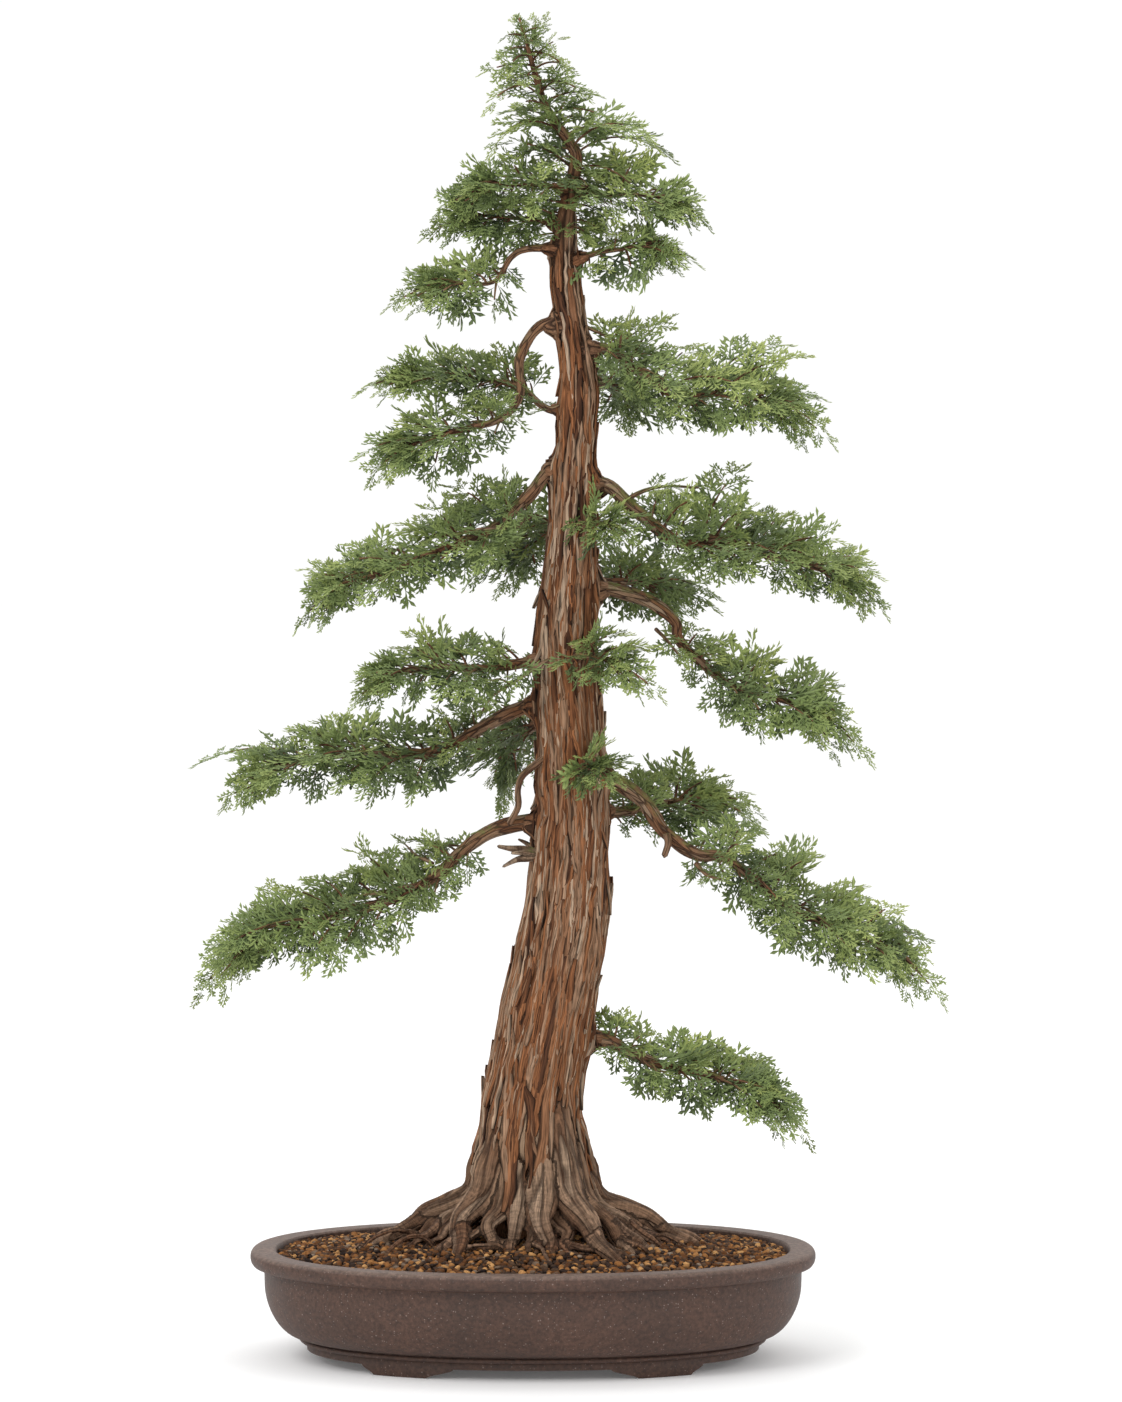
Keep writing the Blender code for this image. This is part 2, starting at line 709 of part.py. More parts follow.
def centre_on_origin():
    """Move the shared empty so that the whole object is centred over the origin."""
    bpy.context.view_layer.update()
    depsgraph = bpy.context.evaluated_depsgraph_get()
    corners = []
    for piece in parts.objects:
        shape = piece.evaluated_get(depsgraph)
        corners += [shape.matrix_world @ Vector(corner) for corner in shape.bound_box]
    for axis in range(2):
        places = [corner[axis] for corner in corners]
        stand.location[axis] = -(min(places) + max(places)) / 2


clear_scene()
parts = new_collection("bonsai_tree")
cutters = new_collection("cutters")
pot_cutters = new_collection("pot_cutters", cutters)
soil_cutters = new_collection("soil_cutters", cutters)
root_shapes = new_collection("root_shapes", cutters)
stand = bpy.data.objects.new("stand", None)
bpy.context.scene.collection.objects.link(stand)

stoneware = new_material("stoneware", (0.115, 0.075, 0.062), 0.62)
screen_plastic = new_material("screen_plastic", (0.02, 0.02, 0.02), 0.5)
wire_metal = new_material("wire_metal", (0.60, 0.58, 0.55), 0.35, 1.0)
granules = new_material("granules", (0.30, 0.15, 0.06), 0.9)
bark = new_material("bark", (0.24, 0.12, 0.065), 0.85)
grey_deadwood = new_material("grey_deadwood", (0.33, 0.25, 0.19), 0.8)
leaves = new_material("leaves", (0.10, 0.17, 0.045), 0.6)

pot = make_pot()
soil = make_soil()
trunk = make_trunk()
for end_name, end_side in (("left", -1), ("right", 1)):
    make_screen("drainage_screen_" + end_name, end_side)
    make_screen_wire("screen_wire_" + end_name, end_side)
meets_trunk = [make_branch("dead_stub", branch_rows(*DEAD_STUB), grey_deadwood)]
for branch_number, (branch_name, (wood, pad)) in enumerate(BRANCHES.items()):
    line = branch_rows(*wood)
    meets_trunk.append(make_branch("branch_" + branch_name, line, bark))
    sprays = foliage_mesh(branch_number, line, *pad)
    meets_trunk.append(add_part("foliage_" + branch_name, sprays, leaves))
for crown_name, crown in CROWNS.items():
    meets_trunk.append(add_part("foliage_" + crown_name, crown_mesh(*crown), leaves))
trunk_room = add_cutter("wood_room", trunk_mesh(GAP), cutters)

boolean(pot, "DIFFERENCE", collection=pot_cutters)
boolean(soil, "DIFFERENCE", collection=soil_cutters)
boolean(trunk, "UNION", collection=root_shapes)
for piece in meets_trunk:
    boolean(piece, "DIFFERENCE", cutter=trunk_room)
centre_on_origin()
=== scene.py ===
import json
import math

import bmesh
import bpy
import numpy as np
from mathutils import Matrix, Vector, noise

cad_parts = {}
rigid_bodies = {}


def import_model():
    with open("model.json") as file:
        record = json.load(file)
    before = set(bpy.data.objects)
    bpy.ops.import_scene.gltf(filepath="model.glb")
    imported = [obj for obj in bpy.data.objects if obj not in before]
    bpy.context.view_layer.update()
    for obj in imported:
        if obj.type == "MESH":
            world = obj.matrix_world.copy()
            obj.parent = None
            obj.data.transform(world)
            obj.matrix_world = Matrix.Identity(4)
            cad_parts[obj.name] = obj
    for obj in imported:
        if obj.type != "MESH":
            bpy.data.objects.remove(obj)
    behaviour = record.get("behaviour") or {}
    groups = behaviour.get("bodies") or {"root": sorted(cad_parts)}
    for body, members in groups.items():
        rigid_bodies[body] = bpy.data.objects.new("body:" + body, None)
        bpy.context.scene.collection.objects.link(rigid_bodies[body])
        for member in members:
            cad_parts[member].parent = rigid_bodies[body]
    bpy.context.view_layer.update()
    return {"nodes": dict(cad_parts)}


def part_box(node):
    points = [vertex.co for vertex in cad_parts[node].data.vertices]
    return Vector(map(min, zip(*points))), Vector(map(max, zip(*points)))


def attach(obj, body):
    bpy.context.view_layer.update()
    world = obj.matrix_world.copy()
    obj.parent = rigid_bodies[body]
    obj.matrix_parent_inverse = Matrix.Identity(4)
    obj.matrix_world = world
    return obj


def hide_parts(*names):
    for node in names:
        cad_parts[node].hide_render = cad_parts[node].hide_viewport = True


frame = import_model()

MM = 0.001
TAU = math.tau

# Where the pot stands, and its rim
POT_LOW, POT_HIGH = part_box("pot")
MIDDLE = (POT_LOW + POT_HIGH) / 2
HALF_LENGTH = (POT_HIGH.x - POT_LOW.x) / 2
HALF_DEPTH = (POT_HIGH.y - POT_LOW.y) / 2
RIM_Z = POT_HIGH.z

# Pot, in metres
POT_SIDES = 176
POT_SQUARENESS = 2.2
WALL = 7.5 * MM
FLOOR_Z = 14 * MM
UNDERSIDE_Z = 7 * MM
RIM_WIDTH = 15 * MM
RIM_THICKNESS = 9.5 * MM
OVERHANG = 8.5 * MM
BELLY_HEIGHT = 44 * MM
BELLY_TUCK = 20 * MM
BASE_INSET = 33.7 * MM
BEAD_TOP = 13.5 * MM
BAND_TOP = 10 * MM
FOOT_HEIGHT = 6 * MM
FOOT_LENGTH = 43 * MM
FOOT_FROM_END = 39 * MM
FOOT_THICKNESS = 10 * MM
DRAIN_RADIUS = 11 * MM
DRAIN_OFFSET = 62 * MM

# Soil, in metres
SOIL_EDGE_DROP = 4 * MM
SOIL_MOUND = 13 * MM
SOIL_GAP = 0.5 * MM

TRUNK_RADIUS = 33.4 * MM
BRANCH_RADIUS = 5.4 * MM

# The trunk's middle line: height above the rim, right and back in mm, and radius as a share
TRUNK_LINE = [
    (-14, -1, 0, 0.78),
    (22, -1, 0, 0.88),
    (48, -1, 0, 0.98),
    (66, -1, 0, 0.96),
    (98, 1, 1, 0.86),
    (163, 13, 4, 0.79),
    (229, 22, 6, 0.67),
    (294, 23, 6, 0.59),
    (357, 20, 4, 0.54),
    (390, 21, 2, 0.49),
    (422, 23, 0, 0.40),
    (487, 26, -3, 0.325),
    (520, 27, -5, 0.31),
    (553, 23, -7, 0.255),
    (586, 19, -9, 0.24),
    (618, 20, -10, 0.165),
    (649, 25, -11, 0.12),
    (661, 23, -12, 0.10),
    (683, 8, -13, 0.075),
    (705, 1, -14, 0.055),
    (722, -4, -15, 0.035),
    (736, -8, -15, 0.02),
]
LEADER_FROM = 636  # above here the trunk is a thin leader with its own piece

# Surface roots: direction in degrees (0 is right, -90 the front), reach and radius in mm, how
# high it leaves the trunk, and its forks as (share along it, turn in degrees, reach)
ROOTS = [
    (4, 103, 8.4, 46, [(0.62, -16, 30), (0.45, 18, 34)]),
    (-7, 84, 4.6, 30, [(0.6, 20, 22)]),
    (-15, 80, 5.8, 40, [(0.55, -20, 26)]),
    (-26, 78, 4.2, 26, []),
    (-36, 76, 7.0, 50, [(0.5, 22, 30), (0.72, -18, 18)]),
    (-54, 80, 9.4, 60, [(0.58, -17, 32), (0.74, 20, 20)]),
    (-68, 60, 4.4, 24, []),
    (-81, 57, 8.8, 58, [(0.6, 24, 20)]),
    (-92, 56, 4.4, 30, []),
    (-104, 53, 6.2, 46, [(0.6, -22, 18)]),
    (-119, 60, 6.0, 44, [(0.62, 24, 18)]),
    (-131, 68, 4.0, 26, []),
    (-140, 70, 9.0, 60, [(0.55, 20, 26), (0.7, -16, 20)]),
    (-153, 74, 4.6, 28, []),
    (-163, 74, 6.4, 44, [(0.55, 18, 26)]),
    (-173, 84, 4.2, 26, []),
    (176, 98, 8.4, 50, [(0.5, 14, 36), (0.7, -16, 22)]),
    (163, 74, 4.8, 30, []),
    (150, 80, 7.4, 46, [(0.6, 20, 24)]),
    (135, 60, 4.6, 30, []),
    (121, 66, 8.2, 54, [(0.6, -20, 22)]),
    (105, 54, 4.6, 30, []),
    (90, 62, 7.2, 48, [(0.55, 22, 22)]),
    (76, 54, 4.4, 28, []),
    (62, 68, 8.6, 56, [(0.6, 18, 22)]),
    (47, 58, 4.6, 28, []),
    (33, 80, 7.4, 44, [(0.6, -20, 24)]),
    (18, 78, 4.8, 28, []),
]

# Thin roots that arch over the soil or lie across it: radius in mm, and points (right, back and
# up from the soil) from the pot's middle, in mm
LYING_ROOTS = [
    (2.6, [(-16, -46, -3), (-22, -52, 3.5), (-30, -54, 4.5), (-38, -52, 3), (-44, -50, -3)]),
    (2.2, [(-58, -34, -3), (-64, -38, 7), (-74, -40, 9), (-84, -42, 4), (-90, -42, -3)]),
    (2.0, [(-70, -14, 6), (-84, -20, 10), (-98, -22, 6), (-106, -24, -3)]),
    (2.4, [(20, -50, 4), (30, -58, 4), (42, -60, 3), (52, -62, -3)]),
    (1.8, [(46, -34, 5), (58, -44, 6), (66, -48, 4), (74, -50, -3)]),
    (2.0, [(0, -48, 4), (6, -60, 4), (8, -68, 2), (12, -74, -3)]),
    (1.6, [(62, -14, 6), (78, -24, 7), (90, -26, 3), (98, -28, -3)]),
    (2.2, [(-30, 50, 4), (-44, 58, 5), (-54, 60, 3), (-60, 64, -3)]),
    (2.0, [(34, 48, 4), (46, 58, 5), (60, 60, 3), (66, 62, -3)]),
    (1.4, [(-96, -8, -2), (-104, -16, 3), (-110, -26, 2), (-114, -34, -2)]),
    (1.3, [(84, -30, -2), (90, -40, 3), (92, -50, 2), (98, -58, -2)]),
    (1.3, [(-40, -66, -2), (-28, -70, 2.5), (-16, -70, 2), (-6, -74, -2)]),
]

# Twigs on a branch's wood: radii in mm at both ends, and points (right and back from the pot's
# middle, up from its rim), in mm. The shorter, thinner ones carry sprays.
TWIGS = {
    "left_1": [
        (2.4, 1.9, [(12, -4, 299), (4, -7, 293), (-6, -9, 285), (-9, -9, 276), (-9, -6, 266),
                    (-14, -4, 256)]),
        (2.0, 0.8, [(-70, -12, 219), (-90, -16, 215), (-101, -18, 214)]),
        (1.3, 0.5, [(-104, -12, 208), (-116, -26, 204), (-122, -34, 200)]),
        (1.2, 0.4, [(-60, -8, 232), (-70, 4, 236), (-78, 12, 243)]),
    ],
    "left_3": [
        (1.7, 0.5, [(12, -10, 355), (4, -15, 351), (-13, -20, 340), (-24, -22, 333), (-30, -22, 324)]),
        (0.9, 0.3, [(-13, -20, 340), (-20, -24, 343), (-25, -25, 342)]),
    ],
    "left_4": [
        (2.0, 0.8, [(-2, -6, 440), (-10, -12, 434), (-32, -20, 432), (-54, -24, 428)]),
        (1.2, 0.4, [(-40, -10, 424), (-50, 2, 428), (-60, 10, 430)]),
    ],
    "left_5": [(1.2, 0.4, [(22, -8, 505), (16, -10, 506), (9, -12, 505), (-5, -13, 517)])],
    "right_2": [
        (2.6, 2.0, [(80, -10, 250), (81, -11, 244), (79, -12, 237)]),
        (1.6, 0.6, [(98, -11, 232), (104, -24, 226), (112, -34, 224)]),
        (1.4, 0.5, [(60, -9, 262), (68, 4, 268), (76, 14, 270)]),
    ],
    "right_3": [(1.3, 0.5, [(74, 9, 372), (80, -4, 366), (88, -14, 356)])],
    "right_4": [
        (1.6, 0.6, [(50, -8, 446), (66, -4, 455), (81, -3, 458), (99, -4, 457)]),
        (1.3, 0.5, [(104, -8, 424), (112, -22, 420), (118, -30, 414)]),
    ],
    "right_5": [
        (1.5, 0.5, [(26, -4, 556), (34, -8, 552), (43, -10, 548), (50, -12, 545)]),
        (1.1, 0.4, [(56, -6, 528), (62, -16, 520), (64, -22, 516)]),
    ],
    "right_1": [(1.4, 0.5, [(62, -6, 116), (72, -18, 110), (80, -26, 108)])],
}

# Branches: height on the trunk (mm above the rim), radius there as a share of BRANCH_RADIUS,
# and the points it runs through as (right, back, up) from the trunk's middle there, in mm.
# The foliage of each: where it starts as a share of the branch, how far it runs past the
# branch's end, its half widths to the front and the back, its height and its droop, in mm.
BRANCHES = {
    "left_1": (
        (255, 1.00, [(-35, -3, 0), (-61, -8, -12), (-81, -12, -31), (-105, -14, -44),
                     (-146, -12, -56), (-191, -8, -70)]),
        (0.36, 54, 52, 52, 37, 27),
    ),
    "left_2": (
        (329, 0.92, [(-30, 2, -5), (-55, 6, -18), (-82, 8, -31), (-109, 6, -33),
                     (-141, 4, -33), (-181, 2, -41)]),
        (0.34, 36, 48, 52, 29, 22),
    ),
    "left_3": (
        (354, 0.72, [(-27, -12, -2), (-48, -20, -5), (-77, -26, -4), (-104, -30, -8)]),
        (0.26, 30, 34, 30, 25, 18),
    ),
    "left_4": (
        (473, 0.90, [(-14, 0, -5), (-29, -4, -22), (-48, -8, -39), (-72, -10, -51),
                     (-104, -10, -63), (-140, -8, -74)]),
        (0.26, 36, 40, 42, 35, 18),
    ),
    "left_5": (
        (558, 0.70, [(-18, -2, -5), (-30, -4, -23), (-30, -6, -46), (-42, -8, -60),
                     (-67, -8, -67), (-94, -6, -74)]),
        (0.60, 34, 36, 30, 21, 22),
    ),
    "left_6": (
        (505, 0.50, [(-18, 7, -1), (-33, 12, 11), (-54, 14, 17), (-74, 14, 17), (-93, 12, 20)]),
        (0.30, 38, 28, 32, 17, 9),
    ),
    "left_7": (
        (601, 0.48, [(-22, -3, -2), (-32, -6, -7), (-43, -10, -22), (-69, -10, -22)]),
        (0.58, 38, 28, 24, 15, 20),
    ),
    "left_8": (
        (614, 0.42, [(-13, 5, 2), (-28, 9, 4), (-53, 10, 6)]),
        (0.22, 32, 24, 28, 12, 8),
    ),
    "left_9": (
        (636, 0.38, [(-20, -3, 1), (-45, -5, 1)]),
        (0.22, 38, 22, 24, 18, 7),
    ),
    "right_1": (
        (127, 0.86, [(37, -4, -2), (53, -6, -10), (78, -8, -18), (95, -8, -21), (130, -6, -33)]),
        (0.28, 44, 34, 34, 20, 17),
    ),
    "right_2": (
        (293, 1.00, [(25, -4, -11), (43, -7, -24), (57, -9, -43), (75, -10, -56), (94, -10, -59),
                     (124, -8, -83), (149, -5, -97), (185, -4, -109)]),
        (0.48, 54, 52, 50, 37, 27),
    ),
    "right_3": (
        (396, 0.92, [(25, 3, 0), (48, 6, -7), (64, 8, -19), (67, 8, -31), (88, 6, -51),
                     (107, 4, -61), (139, 2, -69)]),
        (0.56, 54, 44, 46, 29, 19),
    ),
    "right_4": (
        (462, 0.92, [(21, -3, -5), (38, -6, -20), (64, -8, -38), (87, -8, -36), (117, -8, -46),
                     (158, -6, -56)]),
        (0.30, 38, 48, 48, 41, 22),
    ),
    "right_5": (
        (542, 0.70, [(24, -2, -4), (36, -5, -14), (62, -7, -31), (83, -8, -29), (116, -6, -33)]),
        (0.12, 46, 44, 40, 60, 14),
    ),
    "right_6": (
        (592, 0.46, [(21, -4, 5), (47, -6, 9)]),
        (0.36, 32, 24, 24, 10, 14),
    ),
    "right_7": (
        (637, 0.42, [(20, -1, -6), (32, -3, -5), (54, -3, -7)]),
        (0.20, 30, 28, 28, 22, 10),
    ),
    "back_1": (
        (263, 0.80, [(28, 16, -2), (52, 34, 2), (74, 52, 5)]),
        (0.36, 62, 34, 40, 20, 20),
    ),
    "back_2": (
        (402, 0.70, [(20, 20, -2), (38, 46, -2), (56, 78, -6)]),
        (0.40, 40, 36, 36, 20, 16),
    ),
    "back_3": (
        (521, 0.56, [(12, 24, -2), (20, 46, -1), (28, 68, -6)]),
        (0.44, 30, 26, 30, 14, 12),
    ),
    "back_4": (
        (316, 0.86, [(-18, 30, -2), (-30, 64, -10), (-38, 98, -24)]),
        (0.34, 48, 46, 46, 26, 22),
    ),
    "back_5": (
        (440, 0.72, [(-4, 26, -2), (-16, 54, -10), (-30, 84, -20)]),
        (0.34, 38, 40, 38, 24, 18),
    ),
    "front_1": (
        (288, 0.42, [(6, -24, 2), (14, -40, 3)]),
        (0.52, 20, 15, 17, 12, 8),
    ),
    "front_2": (
        (357, 0.55, [(8, -24, 0), (24, -38, -2)]),
        (0.44, 40, 24, 26, 24, 14),
    ),
    "front_3": (
        (436, 0.42, [(6, -16, 0), (20, -30, 0)]),
        (0.48, 22, 17, 17, 11, 6),
    ),
}

# What wood keeps at each of its points, and as which kind of value
WOOD_VALUES = {"grain": "FLOAT_VECTOR", "run": "FLOAT_VECTOR", "age": "FLOAT", "grey": "FLOAT"}

# Bands of tint on the palette that sprays, strips and granules share; across a band goes from
# one edge of the leaf or strip to the other
BANDS = 24.0

# How far the foliage round the leader reaches at each height, in mm
CROWN_REACH = [
    (600, 30), (625, 42), (642, 48), (658, 54), (674, 44), (690, 36), (704, 33), (716, 27), (726, 16),
    (736, 7),
]
CROWN_FROM, CROWN_TO = 606.0, 729
SPRAY_KINDS = 5
CROWN_SPLIT = 676  # foliage_apex_upper stands above this height

# The kinds of side shoot in turn, on the branch's back and on its front
BACK_SHOOTS = ("flat", "top", "top", "flat", "top", "low")
FRONT_SHOOTS = ("low", "flat", "low", "top", "low", "flat")

# Shoots past a branch's end: turn to its left in degrees, length as a share, and rise in degrees
TIP_FAN = [
    (0, 1.0, -8), (-10, 0.84, -2), (11, 0.78, -12), (-19, 0.62, 4), (20, 0.58, 0), (3, 0.74, -22),
    (-5, 0.62, 14), (-15, 0.48, -24), (17, 0.44, 16), (30, 0.40, -8),
]

# Stage, in metres: the camera's lens in mm, its spot and its aim, and the lamps as
# (name, spot, size, power)
LENS = 136.55
CAMERA_SPOT = Vector((0.0, -3.2, 0.501))
CAMERA_AIM = Vector((0.0, 0.0, 0.3948))
LAMP_AIM = Vector((0, 0, 0.38))
LAMPS = [
    ("key", (-1.5, -2.3, 2.5), 1.6, 42.0),
    ("fill", (2.4, -1.6, 1.4), 2.0, 10.0),
    ("top", (0.2, 0.6, 2.8), 1.8, 12.0),
]


# ---- shapes --------------------------------------------------------------------------------


def smooth_rows(rows, steps):
    """Rows along a smooth curve through the given rows, `steps` to each stretch."""
    rows = np.array(rows, float)
    ends = np.vstack([2 * rows[0] - rows[1], rows, 2 * rows[-1] - rows[-2]])
    result = []
    for before, start, end, after in zip(ends, ends[1:], ends[2:], ends[3:]):
        for share in np.arange(steps) / steps:
            bend = (end - before) * share
            bend += (2 * before - 5 * start + 4 * end - after) * share**2
            bend += (3 * start - before - 3 * end + after) * share**3
            result.append(start + bend / 2)
    result.append(rows[-1])
    return np.array(result)


def unit(vectors):
    vectors = np.asarray(vectors, float)
    return vectors / np.maximum(np.linalg.norm(vectors, axis=-1, keepdims=True), 1e-9)


def lengths_along(points):
    steps = np.linalg.norm(np.diff(points[:, :3], axis=0), axis=1)
    return np.concatenate([[0.0], np.cumsum(steps)])


class Wood:
    """Round wood gathered into one mesh. Each point keeps its place in the grain (two across
    the wood and one along it), the way the wood runs there, and its age and greyness."""

    def __init__(self):
        self.points, self.faces, self.grain, self.run, self.age, self.grey = [], [], [], [], [], []
        self.count = 0
        self.number = 0

    def add(self, rows, sides, age=1.0, grey=0.0, gnarl=0.0):
        points, radii = rows[:, :3], np.maximum(rows[:, 3], 0.12 * MM)
        run = unit(np.gradient(points, axis=0))
        side = np.cross(run[0], (0.3, 0.9, 0.1) if abs(run[0][2]) > 0.7 else (0, 0, 1))
        frames = []
        for way in run:
            side = unit(side - way * np.dot(side, way))
            frames.append((side, np.cross(way, side)))
        frames = np.array(frames)
        turn = np.arange(sides) * TAU / sides
        ring = frames[:, :1] * np.cos(turn)[None, :, None] + frames[:, 1:] * np.sin(turn)[None, :, None]
        reach = lengths_along(points)
        radii = np.repeat(radii[:, None], sides, axis=1)
        if gnarl:
            for i, length in enumerate(reach):
                for j, angle in enumerate(turn):
                    around, along = 1.1 * math.sin(angle) + 9.7 * self.number, length / (16 * MM)
                    spot = (math.cos(angle) * 1.1, around, along)
                    radii[i, j] *= 1 + gnarl * noise.noise(spot)
        skin = points[:, None] + ring * radii[..., None]
        place = np.stack(
            [
                np.cos(turn)[None] * radii,
                np.sin(turn)[None] * radii + 0.37 * self.number,
                np.repeat(reach[:, None], sides, axis=1),
            ],
            axis=-1,
        )
        rings = len(points)
        ids = self.count + np.arange(rings * sides).reshape(rings, sides)
        nxt = np.roll(ids, -1, axis=1)
        quads = np.stack([ids[:-1], nxt[:-1], nxt[1:], ids[1:]], axis=-1).reshape(-1, 4)
        self.faces += quads.tolist()
        low, high = self.count + rings * sides, self.count + rings * sides + 1
        self.faces += [(nxt[0, j], ids[0, j], low) for j in range(sides)]
        self.faces += [(ids[-1, j], nxt[-1, j], high) for j in range(sides)]
        self.points += [skin.reshape(-1, 3), points[:1], points[-1:] + run[-1:] * radii[-1, 0]]
        self.grain += [place.reshape(-1, 3), place[0, :1], place[-1, :1]]
        self.run += [np.repeat(run, sides, axis=0), run[:1], run[-1:]]
        for held, value in ((self.age, age), (self.grey, grey)):
            value = np.broadcast_to(value, rings)
            held += [np.repeat(value, sides), value[:1], value[-1:]]
        self.count += rings * sides + 2
        self.number += 1

    def mesh(self, name):
        mesh = bpy.data.meshes.new(name)
        mesh.from_pydata(np.concatenate(self.points), [], self.faces)
        set_vectors(mesh, "grain", np.concatenate(self.grain))
        set_vectors(mesh, "run", np.concatenate(self.run))
        set_values(mesh, "age", np.concatenate(self.age))
        set_values(mesh, "grey", np.concatenate(self.grey))
        mesh.shade_smooth()
        return mesh


def set_vectors(mesh, name, values):
    mesh.attributes.new(name, "FLOAT_VECTOR", "POINT").data.foreach_set("vector", np.ravel(values))


def set_values(mesh, name, values, kind="FLOAT"):
    mesh.attributes.new(name, kind, "POINT").data.foreach_set("value", np.ravel(values))


def to_mesh(bm, name):
    """The bmesh as a finished mesh. The bmesh goes."""
    mesh = bpy.data.meshes.new(name)
    bm.to_mesh(mesh)
    bm.free()
    return mesh


def bridge(bm, loops):
    """Faces from each loop of points to the next."""
    for lower, upper in zip(loops, loops[1:]):
        for step in range(len(lower)):
            nxt = (step + 1) % len(lower)
            bm.faces.new((lower[step], lower[nxt], upper[nxt], upper[step]))


def place(name, mesh):
    """A new object that holds the mesh, at the origin."""
    made = bpy.data.objects.new(name, mesh)
    bpy.context.scene.collection.objects.link(made)
    return made


def plain(maker, name):
    """The maker's finished shape as a plain mesh on its own object. The maker goes."""
    bpy.context.view_layer.update()
    depsgraph = bpy.context.evaluated_depsgraph_get()
    mesh = bpy.data.meshes.new_from_object(maker.evaluated_get(depsgraph), depsgraph=depsgraph)
    bpy.data.objects.remove(maker)
    mesh.name = name
    return place(name, mesh)


def keep(piece, slot, *nodes, material=None):
    """Hand a finished piece over to the model, standing for its nodes."""
    if material:
        piece.data.materials.clear()
        piece.data.materials.append(material)
    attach(piece, "root")
    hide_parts(*nodes)
    return piece


def drop_attributes(mesh, *names):
    for name in names:
        if name in mesh.attributes:
            mesh.attributes.remove(mesh.attributes[name])


# ---- node trees ----------------------------------------------------------------------------


def wire(tree, kind, inputs, **settings):
    """A node with its settings made and its inputs set or linked, by name or by number."""
    made = tree.nodes.new(kind)
    for name, value in settings.items():
        setattr(made, name, value)
    for key, value in inputs.items():
        if isinstance(value, bpy.types.NodeSocket):
            tree.links.new(value, made.inputs[key])
        else:
            made.inputs[key].default_value = value
    return made


def maths(tree, operation, first, second=0.0, third=0.0):
    return wire(tree, "ShaderNodeMath", {0: first, 1: second, 2: third}, operation=operation).outputs[0]


def vectors(tree, operation, first, second=(0, 0, 0)):
    return wire(tree, "ShaderNodeVectorMath", {0: first, 1: second}, operation=operation).outputs[0]


def scaled(tree, vector, factor):
    inputs = {0: vector, "Scale": factor}
    return wire(tree, "ShaderNodeVectorMath", inputs, operation="SCALE").outputs[0]


def mixed(tree, share, first, second, blend="MIX"):
    made = wire(tree, "ShaderNodeMix", {0: share, 6: first, 7: second}, data_type="RGBA", blend_type=blend)
    return made.outputs[2]


def spread(tree, value, low, high, to_low=0.0, to_high=1.0, smooth=False):
    """The value moved from one range to another and held inside it."""
    inputs = {"Value": value, "From Min": low, "From Max": high, "To Min": to_low, "To Max": to_high}
    made = wire(tree, "ShaderNodeMapRange", inputs, clamp=True)
    made.interpolation_type = "SMOOTHSTEP" if smooth else "LINEAR"
    return made.outputs[0]


def speckle(tree, vector, scale, detail=2.0, roughness=0.5):
    inputs = {"Vector": vector, "Scale": scale, "Detail": detail, "Roughness": roughness}
    return wire(tree, "ShaderNodeTexNoise", inputs).outputs[0]


def ramp(tree, value, stops):
    """A colour for the value, through the given (place, colour) stops."""
    made = wire(tree, "ShaderNodeValToRGB", {0: value})
    elements = made.color_ramp.elements
    while len(elements) < len(stops):
        elements.new(0.5)
    for element, (spot, colour) in zip(elements, stops):
        element.position = spot
        element.color = (*colour, 1.0)
    return made.outputs[0]


def new_group(name, kind, inputs, outputs):
    """An empty node group with its named sockets, and its two ends."""
    tree = bpy.data.node_groups.new(name, kind)
    for in_out, sockets in (("INPUT", inputs), ("OUTPUT", outputs)):
        for label, socket, value in sockets:
            made = tree.interface.new_socket(label, in_out=in_out, socket_type=socket)
            if value is not None:
                made.default_value = value
    start = tree.nodes.new("NodeGroupInput")
    end = tree.nodes.new("NodeGroupOutput")
    return tree, start.outputs, end.inputs


def new_material(name, roughness, specular=0.5, metallic=0.0):
    material = bpy.data.materials.new(name)
    material.use_nodes = True
    tree = material.node_tree
    shader = tree.nodes["Principled BSDF"]
    shader.inputs["Roughness"].default_value = roughness
    shader.inputs["Specular IOR Level"].default_value = specular
    shader.inputs["Metallic"].default_value = metallic
    return material, tree, shader.inputs


def attribute(tree, name, output="Vector"):
    made = tree.nodes.new("ShaderNodeAttribute")
    made.attribute_name = name
    return made.outputs[output]


def own_place(tree):
    return tree.nodes.new("ShaderNodeTexCoord").outputs["Object"]


def named(tree, name, kind="FLOAT"):
    """What a shape keeps under a name."""
    return wire(tree, "GeometryNodeInputNamedAttribute", {"Name": name}, data_type=kind).outputs[0]


def stored(tree, geometry, name, value, kind="FLOAT", **settings):
    """The geometry with a value kept under a name."""
    inputs = {"Geometry": geometry, "Name": name, "Value": value}
    return wire(tree, "GeometryNodeStoreNamedAttribute", inputs, data_type=kind, **settings).outputs[0]


def aligned(tree, inputs, axis, pivot="AUTO"):
    kind = "FunctionNodeAlignRotationToVector"
    return wire(tree, kind, inputs, axis=axis, pivot_axis=pivot).outputs[0]


def set_shapes(tree, points, box, index, rotation, scale):
    """One of the box's shapes on every point."""
    picked = {"Collection": box, "Separate Children": True, "Reset Children": True}
    inputs = {
        "Points": points,
        "Instance": wire(tree, "GeometryNodeCollectionInfo", picked).outputs[0],
        "Pick Instance": True,
        "Instance Index": index,
        "Rotation": rotation,
        "Scale": scale,
    }
    return wire(tree, "GeometryNodeInstanceOnPoints", inputs).outputs[0]


def run_tree(maker, tree, values):
    """Put the tree on the maker, with its named inputs set by their identifiers."""
    modifier = maker.modifiers.new(tree.name, "NODES")
    modifier.node_group = tree
    for item in tree.interface.items_tree:
        if item.item_type == "SOCKET" and item.in_out == "INPUT" and item.name in values:
            modifier[item.identifier] = values[item.name]


# ---- effects shared by several finishes ------------------------------------------------------


